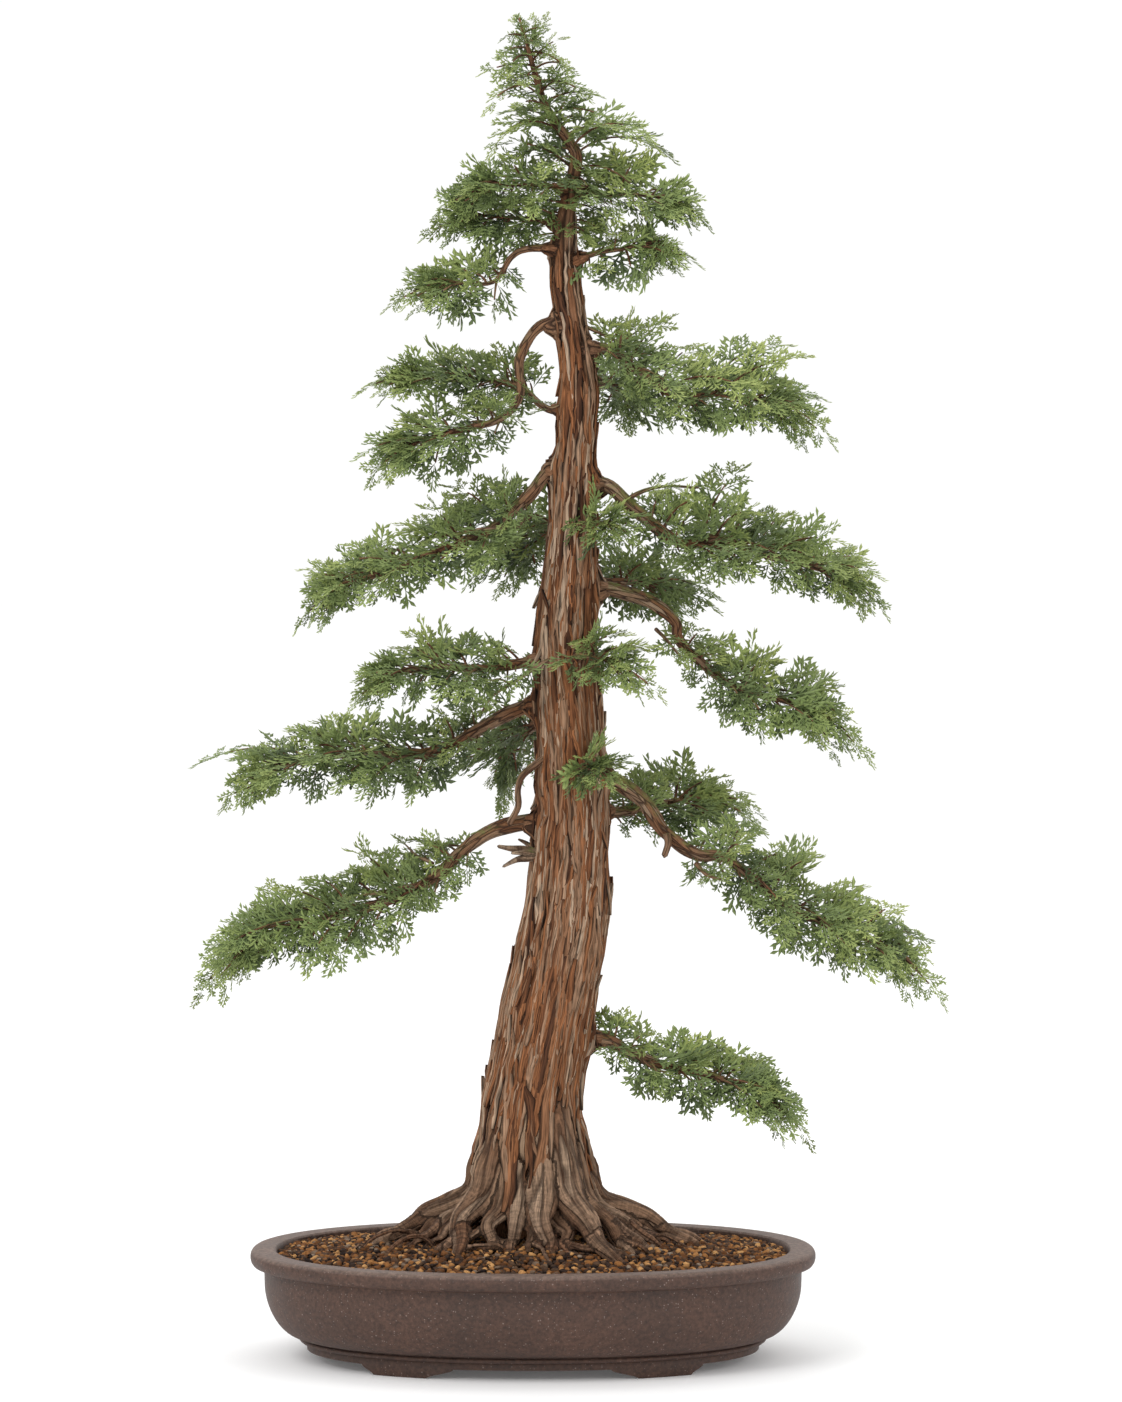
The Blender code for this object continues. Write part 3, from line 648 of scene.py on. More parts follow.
def plates(tree, grain, width, length, split):
    """The bark's long plates: their swaying grid, the distance to an edge, and a tint for each."""
    parts = wire(tree, "ShaderNodeSeparateXYZ", {0: grain}).outputs
    across = [maths(tree, "DIVIDE", parts[axis], width) for axis in (0, 1)]
    along = maths(tree, "DIVIDE", parts[2], length)
    even = wire(tree, "ShaderNodeCombineXYZ", {0: across[0], 1: across[1], 2: along}).outputs[0]
    sway = wire(tree, "ShaderNodeTexNoise", {"Vector": even, "Scale": 0.55, "Detail": 2.0}).outputs["Color"]
    sway = vectors(tree, "MULTIPLY", vectors(tree, "SUBTRACT", sway, (0.5, 0.5, 0.5)), (1.5, 1.5, 0.8))
    even = vectors(tree, "ADD", even, sway)
    edge = wire(tree, "ShaderNodeTexVoronoi", {"Vector": even, "Scale": 1.0}, feature="DISTANCE_TO_EDGE")
    cell = wire(tree, "ShaderNodeTexVoronoi", {"Vector": even, "Scale": 1.0}, feature="F1")
    tint = wire(tree, split, {0: cell.outputs["Color"]}).outputs[0]
    return even, edge.outputs["Distance"], tint


def grain_group():
    """Shredding bark: long plates split by fissures, with fine fibres over them; the fissure mask also
    carries painted shade.
    """
    tree, given, out = new_group(
        "bark_grain",
        "ShaderNodeTree",
        [
            ("Grain", "NodeSocketVector", None),
            ("Plate width", "NodeSocketFloat", 7 * MM),
            ("Plate length", "NodeSocketFloat", 60 * MM),
        ],
        [(name, "NodeSocketFloat", None) for name in ("Plate", "Fissure", "Fibre", "Height")],
    )
    width, length = given["Plate width"], given["Plate length"]
    even, edge, tint = plates(tree, given["Grain"], width, length, "ShaderNodeSeparateColor")
    fissure = spread(tree, edge, 0.0, 0.13, 1.0, 0.0, smooth=True)
    thin = vectors(tree, "MULTIPLY", even, (5.0, 5.0, 1.2))
    fibre = speckle(tree, thin, 1.6, 4.0, 0.6)
    height = maths(tree, "MULTIPLY", tint, 0.5)
    height = maths(tree, "MULTIPLY_ADD", fissure, -1.0, height)
    height = maths(tree, "MULTIPLY_ADD", fibre, 0.6, height)
    for name, value in (("Plate", tint), ("Fissure", fissure), ("Fibre", fibre), ("Height", height)):
        tree.links.new(value, out[name])
    return tree


def dust_group():
    """Pale specks and worn patches on fired clay, as masks."""
    tree, given, out = new_group(
        "clay_specks",
        "ShaderNodeTree",
        [("Place", "NodeSocketVector", None), ("Speck size", "NodeSocketFloat", 1.2 * MM)],
        [(name, "NodeSocketFloat", None) for name in ("Speck", "Patch", "Grit")],
    )
    scale = maths(tree, "DIVIDE", 1.0, given["Speck size"])
    dots = wire(tree, "ShaderNodeTexVoronoi", {"Vector": given["Place"], "Scale": scale}, feature="F1")
    some = wire(tree, "ShaderNodeSeparateColor", {0: dots.outputs["Color"]}).outputs[0]
    size = spread(tree, some, 0.72, 1.0, 0.0, 0.34)
    near = maths(tree, "LESS_THAN", dots.outputs["Distance"], size)
    tree.links.new(near, out["Speck"])
    tree.links.new(speckle(tree, given["Place"], 26.0, 6.0, 0.62), out["Patch"])
    tree.links.new(speckle(tree, given["Place"], 420.0, 5.0, 0.75), out["Grit"])
    return tree


def shade_group():
    """A colour made lighter or darker by a factor."""
    tree, given, out = new_group(
        "shaded_colour",
        "ShaderNodeTree",
        [("Colour", "NodeSocketColor", None), ("Shade", "NodeSocketFloat", 1.0)],
        [("Colour", "NodeSocketColor", None)],
    )
    shade = given["Shade"]
    grey = wire(tree, "ShaderNodeCombineColor", {0: shade, 1: shade, 2: shade}).outputs[0]
    tree.links.new(mixed(tree, 1.0, given["Colour"], grey, "MULTIPLY"), out["Colour"])
    return tree


def palette_group():
    """What a place on the palette says: how far along the shape, its tint, and how near an edge."""
    tree, given, out = new_group(
        "palette_place",
        "ShaderNodeTree",
        [("Place", "NodeSocketVector", None)],
        [(name, "NodeSocketFloat", None) for name in ("Along", "Tint", "Edge")],
    )
    along, tint, _ = wire(tree, "ShaderNodeSeparateXYZ", {0: given["Place"]}).outputs
    band = maths(tree, "FRACT", maths(tree, "MULTIPLY", tint, BANDS))
    edge = maths(tree, "ABSOLUTE", maths(tree, "SUBTRACT", band, 0.5))
    for name, value in (("Along", along), ("Tint", tint), ("Edge", edge)):
        tree.links.new(value, out[name])
    return tree


GRAIN = grain_group()
SPECKS = dust_group()
SHADE = shade_group()
PALETTE = palette_group()


def grouped(tree, group, **inputs):
    """A shared effect's outputs, with its inputs linked by name."""
    made = wire(tree, "ShaderNodeGroup", {}, node_tree=group)
    for name, value in inputs.items():
        socket = made.inputs[name.replace("_", " ")]
        if isinstance(value, bpy.types.NodeSocket):
            tree.links.new(value, socket)
        else:
            socket.default_value = value
    return made.outputs


def shaded(tree, colour, shade):
    return grouped(tree, SHADE, Colour=colour, Shade=shade)[0]


def palette_spot(tree):
    return wire(tree, "ShaderNodeUVMap", {}, uv_map="OFBake").outputs[0]


# ---- finishes --------------------------------------------------------------------------------


def bark_material(name, plate_width, plate_length, depth, mossy):
    """Orange-brown bark, greyer on its raised plates and on the roots, green where moss sits."""
    material, tree, shader = new_material(name, 0.88, 0.25)
    sizes = {"Plate_width": plate_width, "Plate_length": plate_length}
    plate, fissure, fibre, height = grouped(tree, GRAIN, Grain=attribute(tree, "grain"), **sizes)
    old = ramp(
        tree,
        plate,
        [
            (0.0, (0.147, 0.055, 0.022)),
            (0.3, (0.225, 0.090, 0.034)),
            (0.55, (0.206, 0.103, 0.050)),
            (0.8, (0.245, 0.138, 0.076)),
            (1.0, (0.304, 0.204, 0.129)),
        ],
    )
    greyed = ramp(
        tree,
        plate,
        [(0.0, (0.125, 0.070, 0.040)), (0.6, (0.29, 0.190, 0.122)), (1.0, (0.50, 0.370, 0.260))],
    )
    young = ramp(tree, fibre, [(0.3, (0.127, 0.048, 0.022)), (0.7, (0.225, 0.104, 0.053))])
    grey = attribute(tree, "grey", "Fac")
    colour = mixed(tree, spread(tree, grey, 0.1, 0.8), old, greyed)
    colour = mixed(tree, spread(tree, attribute(tree, "age", "Fac"), 0.15, 0.7), young, colour)
    place_here = own_place(tree)
    patch = speckle(tree, place_here, 34.0, 3.0)
    colour = mixed(tree, spread(tree, patch, 0.42, 0.66, 0.0, 0.45), colour, (0.30, 0.19, 0.12, 1))
    shade = spread(tree, fibre, 0.28, 0.72, 0.32, 1.38)
    around = vectors(tree, "MULTIPLY", attribute(tree, "grain"), (70.0, 70.0, 520.0))
    rings = speckle(tree, around, 1.0, 3.0)
    rings = maths(tree, "MULTIPLY", spread(tree, rings, 0.42, 0.56, 1.0, 0.0), spread(tree, grey, 0.45, 1.0))
    shade = maths(tree, "MULTIPLY", shade, maths(tree, "MULTIPLY_ADD", rings, -0.5, 1.0))
    colour = shaded(tree, colour, shade)
    # Painted shade in the fissures between plates, weaker on the greyed roots.
    split = maths(tree, "MULTIPLY", fissure, spread(tree, grey, 0.3, 1.0, 0.9, 0.3))
    colour = mixed(tree, split, colour, (0.030, 0.014, 0.008, 1))
    if mossy:
        facing = tree.nodes.new("ShaderNodeNewGeometry").outputs["Normal"]
        up = wire(tree, "ShaderNodeSeparateXYZ", {0: facing}).outputs[2]
        clump = speckle(tree, place_here, 120.0, 4.0, 0.7)
        wet = maths(tree, "MULTIPLY", spread(tree, up, 0.0, 0.8), spread(tree, clump, 0.44, 0.58))
        wet = maths(tree, "MULTIPLY", wet, spread(tree, patch, 0.40, 0.52))
        moss = ramp(tree, clump, [(0.4, (0.069, 0.095, 0.022)), (0.7, (0.196, 0.247, 0.060))])
        colour = mixed(tree, maths(tree, "MULTIPLY", wet, mossy), colour, moss)
    tree.links.new(colour, shader["Base Color"])
    height = maths(tree, "MULTIPLY_ADD", rings, -0.5, height)
    bump = wire(tree, "ShaderNodeBump", {"Strength": 1.0, "Distance": depth, "Height": height})
    tree.links.new(bump.outputs[0], shader["Normal"])
    return material


def strip_material():
    """Loose bark strips, each with its own tint, with painted shade along the edges and dark at the ends."""
    material, tree, shader = new_material("shredded_bark", 0.9, 0.2)
    spot = palette_spot(tree)
    along, tint, edge = grouped(tree, PALETTE, Place=spot)
    colour = ramp(
        tree,
        tint,
        [
            (0.0, (0.050, 0.021, 0.011)),
            (0.15, (0.150, 0.058, 0.024)),
            (0.4, (0.235, 0.094, 0.038)),
            (0.6, (0.185, 0.096, 0.052)),
            (0.8, (0.255, 0.155, 0.096)),
            (1.0, (0.39, 0.28, 0.195)),
        ],
    )
    lines = speckle(tree, vectors(tree, "MULTIPLY", spot, (5.0, 190.0, 1.0)), 1.0, 3.0)
    shade = spread(tree, lines, 0.34, 0.64, 0.34, 1.5)
    ends = maths(tree, "ABSOLUTE", maths(tree, "SUBTRACT", along, 0.5))
    shade = maths(tree, "MULTIPLY", shade, spread(tree, ends, 0.42, 0.5, 1.0, 0.4))
    # Painted shade along each strip's edges, where it meets the trunk.
    shade = maths(tree, "MULTIPLY", shade, spread(tree, edge, 0.14, 0.38, 1.0, 0.12))
    tree.links.new(shaded(tree, colour, shade), shader["Base Color"])
    return material


def leaf_material():
    """Scale leaves: painted shade, dark and greyish, inside the pad, painted light on top, yellow-green at
    young tips.
    """
    material, tree, shader = new_material("scale_leaves", 0.55, 0.3)
    spot = palette_spot(tree)
    along, tint, edge = grouped(tree, PALETTE, Place=spot)
    # The tint runs from painted shade on the low, hanging sprays to painted light on those on top, with
    # random tone mixed in.
    base = ramp(
        tree,
        tint,
        [
            (0.0, (0.017, 0.028, 0.014)),
            (0.35, (0.072, 0.104, 0.041)),
            (0.65, (0.116, 0.166, 0.049)),
            (1.0, (0.188, 0.243, 0.066)),
        ],
    )
    tip = ramp(
        tree,
        tint,
        [(0.0, (0.100, 0.136, 0.058)), (0.5, (0.205, 0.264, 0.085)), (1.0, (0.385, 0.430, 0.135))],
    )
    mottle = speckle(tree, vectors(tree, "MULTIPLY", spot, (9.0, 60.0, 1.0)), 1.0, 2.0)
    share = maths(tree, "ADD", spread(tree, along, 0.25, 1.0), spread(tree, mottle, 0.3, 0.7, -0.18, 0.18))
    colour = mixed(tree, spread(tree, share, 0.0, 1.0), base, tip)
    colour = mixed(tree, spread(tree, along, 0.0, 0.14, 0.7, 0.0), colour, (0.13, 0.085, 0.04, 1))
    # Painted shade down each finger's sides, and a painted highlight along its middle.
    colour = shaded(tree, colour, spread(tree, edge, 0.12, 0.4, 1.12, 0.62))
    tree.links.new(colour, shader["Base Color"])
    return material


def granule_material(name, stops):
    """Baked clay granules, each with its own tint, with painted light on their tops and painted shade below.
    """
    material, tree, shader = new_material(name, 0.92, 0.2)
    spot = palette_spot(tree)
    high, tint, _ = grouped(tree, PALETTE, Place=spot)
    colour = ramp(tree, tint, stops)
    pits = speckle(tree, vectors(tree, "MULTIPLY", spot, (7.0, 90.0, 1.0)), 1.0, 4.0, 0.7)
    shade = spread(tree, pits, 0.3, 0.7, 0.6, 1.25)
    # Painted light on each granule's top and painted shade towards its underside.
    shade = maths(tree, "MULTIPLY", shade, spread(tree, high, 0.1, 0.9, 0.8, 1.12))
    tree.links.new(shaded(tree, colour, shade), shader["Base Color"])
    return material


def clay_material():
    """Unglazed stoneware: warm grey-brown, speckled, paler where the rim has been rubbed, painted shade near
    the foot.
    """
    material, tree, shader = new_material("unglazed_stoneware", 0.62, 0.4)
    here = own_place(tree)
    speck, patch, grit = grouped(tree, SPECKS, Place=here)
    colour = ramp(
        tree,
        patch,
        [(0.3, (0.047, 0.0235, 0.0155)), (0.5, (0.060, 0.030, 0.0200)), (0.72, (0.080, 0.041, 0.028))],
    )
    height = wire(tree, "ShaderNodeSeparateXYZ", {0: here}).outputs[2]
    rubbed = spread(tree, height, RIM_Z - 2.5 * MM, RIM_Z - 0.3 * MM)
    rubbed = maths(tree, "MULTIPLY", rubbed, spread(tree, patch, 0.3, 0.6, 0.4, 0.8))
    colour = mixed(tree, rubbed, colour, (0.185, 0.130, 0.105, 1))
    # Painted shade: the clay darkens towards the foot, below the belly.
    low = spread(tree, height, 4 * MM, 22 * MM, 0.35, 0.0)
    colour = mixed(tree, low, colour, (0.055, 0.032, 0.024, 1))
    colour = mixed(tree, maths(tree, "MULTIPLY", speck, 0.42), colour, (0.34, 0.27, 0.24, 1))
    colour = shaded(tree, colour, spread(tree, grit, 0.34, 0.66, 0.55, 1.5))
    tree.links.new(colour, shader["Base Color"])
    tree.links.new(spread(tree, patch, 0.3, 0.7, 0.52, 0.7), shader["Roughness"])
    bump = wire(tree, "ShaderNodeBump", {"Strength": 0.6, "Distance": 0.25 * MM, "Height": grit})
    tree.links.new(bump.outputs[0], shader["Normal"])
    return material


def earth_material():
    """Fine dark soil between the granules."""
    material, tree, shader = new_material("fine_soil", 0.95, 0.15)
    crumbs = speckle(tree, own_place(tree), 420.0, 4.0, 0.7)
    colour = ramp(
        tree,
        crumbs,
        [(0.3, (0.018, 0.010, 0.007)), (0.55, (0.055, 0.030, 0.018)), (0.75, (0.13, 0.07, 0.035))],
    )
    tree.links.new(colour, shader["Base Color"])
    bump = wire(tree, "ShaderNodeBump", {"Strength": 1.0, "Distance": 1.0 * MM, "Height": crumbs})
    tree.links.new(bump.outputs[0], shader["Normal"])
    return material


def moulded_material(name, colour, worn, roughness, metallic):
    """Plastic mesh or drawn wire, lightly mottled."""
    material, tree, shader = new_material(name, roughness, 0.5, metallic)
    marks = speckle(tree, own_place(tree), 700.0, 3.0)
    tree.links.new(ramp(tree, marks, [(0.3, colour), (0.75, worn)]), shader["Base Color"])
    return material


trunk_bark = bark_material("trunk_bark", 7.5 * MM, 62 * MM, 1.3 * MM, 0.0)
branch_bark = bark_material("branch_bark", 2.6 * MM, 20 * MM, 0.5 * MM, 0.8)
loose_bark = strip_material()
scale_leaves = leaf_material()
stoneware = clay_material()
fine_soil = earth_material()
warm_clay = granule_material(
    "warm_granules",
    [
        (0.0, (0.070, 0.028, 0.011)),
        (0.35, (0.155, 0.062, 0.020)),
        (0.7, (0.29, 0.125, 0.038)),
        (1.0, (0.50, 0.27, 0.105)),
    ],
)
dark_clay = granule_material(
    "dark_granules",
    [
        (0.0, (0.018, 0.011, 0.009)),
        (0.5, (0.05, 0.028, 0.018)),
        (0.85, (0.10, 0.055, 0.03)),
        (1.0, (0.26, 0.20, 0.15)),
    ],
)
screen_plastic = moulded_material(
    "screen_mesh_plastic", (0.016, 0.016, 0.017), (0.035, 0.034, 0.032), 0.5, 0.0
)
drawn_wire = moulded_material("drawn_wire", (0.50, 0.48, 0.45), (0.66, 0.64, 0.60), 0.35, 1.0)


# ---- pot -------------------------------------------------------------------------------------


def oval(inset, turn):
    """The pot's outline, moved in by an inset."""
    across, away = np.cos(turn), np.sin(turn)
    share = (abs(across) ** POT_SQUARENESS + abs(away) ** POT_SQUARENESS) ** (-1 / POT_SQUARENESS)
    return (HALF_LENGTH - inset) * share * across, (HALF_DEPTH - inset) * share * away


def belly(inset, tuck, bottom, count):
    """A wall's curve from its widest down to the base."""
    turn = np.radians(np.linspace(0, 90, count))
    inward = tuck * (1 - np.cos(turn)) ** 0.85
    return list(zip(inset + inward, BELLY_HEIGHT - (BELLY_HEIGHT - bottom) * np.sin(turn)))


def pot_profile():
    """From the inside of the floor up the wall, over the lip and down to the underside."""
    inside = belly(OVERHANG + WALL, BASE_INSET - OVERHANG, FLOOR_Z, 12)[::-1]
    lip = [(RIM_WIDTH + 0.6 * MM, RIM_Z - 1.2 * MM), (RIM_WIDTH - 0.2 * MM, RIM_Z - 0.2 * MM)]
    lip += [(RIM_WIDTH - 1.6 * MM, RIM_Z), (5 * MM, RIM_Z - 0.1 * MM)]
    for degrees in range(100, 181, 16):
        turn = math.radians(degrees)
        lip.append((3.6 * MM * (1 + math.cos(turn)), RIM_Z - 3.6 * MM * (1 - math.sin(turn))))
    lip += [
        (0.0, RIM_Z - 0.55 * RIM_THICKNESS),
        (0.5 * MM, RIM_Z - 0.76 * RIM_THICKNESS),
        (1.6 * MM, RIM_Z - 0.93 * RIM_THICKNESS),
        (3.2 * MM, RIM_Z - RIM_THICKNESS),
        (OVERHANG - 1.8 * MM, RIM_Z - 1.02 * RIM_THICKNESS),
        (OVERHANG - 0.3 * MM, RIM_Z - 1.12 * RIM_THICKNESS),
    ]
    outside = belly(OVERHANG, BELLY_TUCK, BEAD_TOP + 1.2 * MM, 14)
    low = OVERHANG + BELLY_TUCK
    moulding = [
        (low + 2.4 * MM, BEAD_TOP + 0.6 * MM),
        (low + 2.4 * MM, BEAD_TOP),
        (low + 1.2 * MM, BEAD_TOP - 0.3 * MM),
        (low + 0.8 * MM, BEAD_TOP - 1.0 * MM),
        (low + 1.0 * MM, BEAD_TOP - 2.0 * MM),
        (low + 2.0 * MM, BEAD_TOP - 2.8 * MM),
        (low + 5.6 * MM, BEAD_TOP - 3.1 * MM),
        (BASE_INSET + 0.4 * MM, BAND_TOP + 0.2 * MM),
        (BASE_INSET, BAND_TOP - 0.5 * MM),
        (BASE_INSET + 0.6 * MM, 1.0 * MM),
        (BASE_INSET + 1.4 * MM, 0.0),
        (BASE_INSET + FOOT_THICKNESS, 0.0),
        (BASE_INSET + FOOT_THICKNESS, UNDERSIDE_Z),
    ]
    return inside + lip + outside + moulding


def oval_loft(name, rings):
    """A closed skin over ovals given as (inset, height), from pole to pole."""
    turn = np.arange(POT_SIDES) * TAU / POT_SIDES
    bm = bmesh.new()
    loops = []
    for inset, height in rings:
        across, away = oval(inset, turn)
        loops.append([bm.verts.new((MIDDLE.x + x, MIDDLE.y + y, height)) for x, y in zip(across, away)])
    bridge(bm, loops)
    for loop, height in ((loops[0], rings[0][1]), (loops[-1], rings[-1][1])):
        pole = bm.verts.new((MIDDLE.x, MIDDLE.y, height))
        for step in range(POT_SIDES):
            bm.faces.new((loop[step], loop[(step + 1) % POT_SIDES], pole))
    bmesh.ops.recalc_face_normals(bm, faces=bm.faces)
    return to_mesh(bm, name)


def block(name, outline):
    """A flat outline in X and Z, pulled right through the pot along Y, to cut with."""
    bm = bmesh.new()
    ends = []
    for depth in (-HALF_DEPTH * 2, HALF_DEPTH * 2):
        ends.append([bm.verts.new((MIDDLE.x + x, MIDDLE.y + depth, z)) for x, z in outline])
    bm.faces.new(ends[0])
    bm.faces.new(ends[1][::-1])
    for i in range(len(outline)):
        j = (i + 1) % len(outline)
        bm.faces.new((ends[0][j], ends[0][i], ends[1][i], ends[1][j]))
    bmesh.ops.recalc_face_normals(bm, faces=bm.faces)
    return place(name, to_mesh(bm, name))


def foot_edge(side, corner, slope, lean):
    """The S-curve at a foot's end, from the ground up to the base, going right or left."""
    points = []
    for share in np.linspace(0, 1, 9):
        swell = 0.5 - 0.5 * math.cos(math.pi * share)
        points.append((side * (corner + lean * slope * (swell - 0.5) * 2), share * FOOT_HEIGHT))
    return points


def make_pot():
    """The bowl, with the foot ring cut down to four feet and a drain hole under each half."""
    outer = HALF_LENGTH - BASE_INSET - FOOT_FROM_END
    inner = outer - FOOT_LENGTH
    low = -2 * MM
    left, right = foot_edge(-1, inner, 8 * MM, -1), foot_edge(1, inner, 8 * MM, -1)
    cutters = [block("gap", [(left[0][0], low)] + left + right[::-1] + [(right[0][0], low)])]
    for side in (-1, 1):
        edge = foot_edge(side, outer, 3.5 * MM, 1)
        cutters.append(block("end", [(edge[0][0], low)] + edge + [(side, FOOT_HEIGHT), (side, low)]))
        bm = bmesh.new()
        hole = {"segments": 40, "radius1": DRAIN_RADIUS, "radius2": DRAIN_RADIUS, "depth": 4 * FLOOR_Z}
        bmesh.ops.create_cone(bm, cap_ends=True, **hole)
        centre = (MIDDLE.x + side * DRAIN_OFFSET, MIDDLE.y, FLOOR_Z)
        bmesh.ops.translate(bm, verts=bm.verts, vec=centre)
        cutters.append(place("hole", to_mesh(bm, "hole")))
    maker = place("pot_maker", oval_loft("pot", pot_profile()))
    for cutter in cutters:
        cut = maker.modifiers.new("cut", "BOOLEAN")
        cut.object = cutter
        cut.solver = "EXACT"
    piece = plain(maker, "oval_pot")
    for cutter in cutters:
        bpy.data.objects.remove(cutter)
    piece.data.shade_smooth()
    piece.data.set_sharp_from_angle(angle=math.radians(38))
    return keep(piece, "stoneware", "pot", material=stoneware)


# ---- soil ------------------------------------------------------------------------------------


def soil_height(right, back):
    """The mound's surface over a point, from the pot's middle."""
    wall = OVERHANG + WALL
    share = np.minimum(1.0, np.hypot(right / (HALF_LENGTH - wall), back / (HALF_DEPTH - wall)))
    return RIM_Z - SOIL_EDGE_DROP + SOIL_MOUND * np.cos(share * math.pi / 2) ** 1.4


def make_soil_bed():
    """The soil itself, a lumpy mound down to the pot's floor."""
    clear = OVERHANG + WALL + SOIL_GAP
    wall = belly(clear, BASE_INSET - OVERHANG, FLOOR_Z + SOIL_GAP, 8)
    turn = np.arange(POT_SIDES) * TAU / POT_SIDES
    bm = bmesh.new()
    rows = []
    for share in np.linspace(1.0, 0.04, 44):
        across, away = oval(clear, turn)
        row = []
        for x, y in zip(across * share, away * share):
            lump = 0.9 * MM * noise.noise((x / (7 * MM), y / (7 * MM), 3.0)) - 1.4 * MM
            row.append(bm.verts.new((MIDDLE.x + x, MIDDLE.y + y, soil_height(x, y) + lump)))
        rows.append(row)
    foot = []
    for inset, height in wall:
        across, away = oval(inset, turn)
        foot.append([bm.verts.new((MIDDLE.x + x, MIDDLE.y + y, height)) for x, y in zip(across, away)])
    loops = foot[::-1] + rows
    bridge(bm, loops)
    bm.faces.new(loops[0][::-1])
    bm.faces.new(loops[-1])
    bmesh.ops.recalc_face_normals(bm, faces=bm.faces)
    mesh = to_mesh(bm, "soil_mound")
    mesh.shade_smooth()
    return keep(place("soil_mound", mesh), "soil_granules", "soil_bed", material=fine_soil)


def granule_shape(number, rounds, sides, squash, rough):
    """A worn lump about 1 across, with its height and its girth as its two shades."""
    bm = bmesh.new()
    bmesh.ops.create_uvsphere(bm, u_segments=sides, v_segments=rounds, radius=0.5)
    shades = bm.loops.layers.uv.new("shade")
    for vert in bm.verts:
        vert.co *= 1 + rough * noise.noise(vert.co * 2.3 + Vector((7.1 * number, 0, 0)))
        vert.co.z *= squash
    for face in bm.faces:
        for loop in face.loops:
            around = math.atan2(loop.vert.co.y, loop.vert.co.x)
            high = 0.5 + 0.9 * loop.vert.co.z / squash
            loop[shades].uv = (high, math.cos(around) + 0.1 * loop.vert.co.x)
    mesh = to_mesh(bm, f"granule_{number}")
    mesh.shade_smooth()
    return mesh


def shape_box(name, meshes):
    """A collection of source shapes for the node trees to pick from."""
    box = bpy.data.collections.new(name)
    for mesh in meshes:
        box.objects.link(bpy.data.objects.new(mesh.name, mesh))
    return box


def empty_box(box):
    for item in list(box.objects):
        bpy.data.objects.remove(item)
    bpy.data.collections.remove(box)


def palette_end(tree, instances, material, out):
    """Realise the instances, give each its place on the palette, and set the material."""
    real = wire(tree, "GeometryNodeRealizeInstances", {0: instances}).outputs[0]
    along, across, _ = wire(tree, "ShaderNodeSeparateXYZ", {0: named(tree, "shade", "FLOAT_VECTOR")}).outputs
    band = maths(tree, "FLOOR", maths(tree, "MULTIPLY", named(tree, "tint"), BANDS - 0.001))
    band = maths(tree, "MULTIPLY_ADD", across, 0.4, maths(tree, "ADD", band, 0.5))
    spot = wire(tree, "ShaderNodeCombineXYZ", {0: along, 1: maths(tree, "DIVIDE", band, BANDS)}).outputs[0]
    kept = stored(tree, real, "OFBake", spot, "FLOAT2", domain="CORNER")
    done = wire(tree, "GeometryNodeSetMaterial", {"Geometry": kept, "Material": material}).outputs[0]
    tree.links.new(done, out[0])


def random_value(tree, low, high, seed, kind="FLOAT"):
    first = {"FLOAT_VECTOR": 0, "FLOAT": 2, "INT": 4}[kind]
    inputs = {first: low, first + 1: high, "Seed": seed}
    made = wire(tree, "FunctionNodeRandomValue", inputs, data_type=kind)
    return made.outputs[{"FLOAT_VECTOR": 0, "FLOAT": 1, "INT": 2}[kind]]


def scatter_tree(material):
    """Granules strewn over a surface, no two closer than their spacing."""
    tree, given, out = new_group(
        "granules_on_soil",
        "GeometryNodeTree",
        [
            ("Surface", "NodeSocketGeometry", None),
            ("Shapes", "NodeSocketCollection", None),
            ("Spacing", "NodeSocketFloat", 3 * MM),
            ("Smallest", "NodeSocketFloat", 2.5 * MM),
            ("Largest", "NodeSocketFloat", 5 * MM),
            ("Lift", "NodeSocketFloat", 0.5 * MM),
            ("Seed", "NodeSocketInt", 3),
        ],
        [("Granules", "NodeSocketGeometry", None)],
    )
    strewn = {
        "Mesh": given["Surface"],
        "Distance Min": given["Spacing"],
        "Density Max": 4e5,
        "Seed": given["Seed"],
    }
    kind = "GeometryNodeDistributePointsOnFaces"
    points = wire(tree, kind, strewn, distribute_method="POISSON").outputs[0]
    seeds = [maths(tree, "ADD", given["Seed"], float(step)) for step in range(1, 6)]
    rise = random_value(tree, -0.4, 1.0, seeds[0])
    lift = wire(tree, "ShaderNodeCombineXYZ", {2: maths(tree, "MULTIPLY", rise, given["Lift"])}).outputs[0]
    points = wire(tree, "GeometryNodeSetPosition", {"Geometry": points, "Offset": lift}).outputs[0]
    tint = random_value(tree, 0.0, 1.0, seeds[1])
    points = stored(tree, points, "tint", tint)
    turn = random_value(tree, (-0.6, -0.6, 0.0), (0.6, 0.6, TAU), seeds[2], "FLOAT_VECTOR")
    turn = wire(tree, "FunctionNodeEulerToRotation", {0: turn}).outputs[0]
    size = random_value(tree, given["Smallest"], given["Largest"], seeds[3])
    stretch = random_value(tree, (0.8, 0.8, 0.8), (1.2, 1.2, 1.2), seeds[4], "FLOAT_VECTOR")
    scale = scaled(tree, stretch, size)
    index = random_value(tree, 0, 5, seeds[0], "INT")
    stood = set_shapes(tree, points, given["Shapes"], index, turn, scale)
    palette_end(tree, stood, material, out)
    return tree


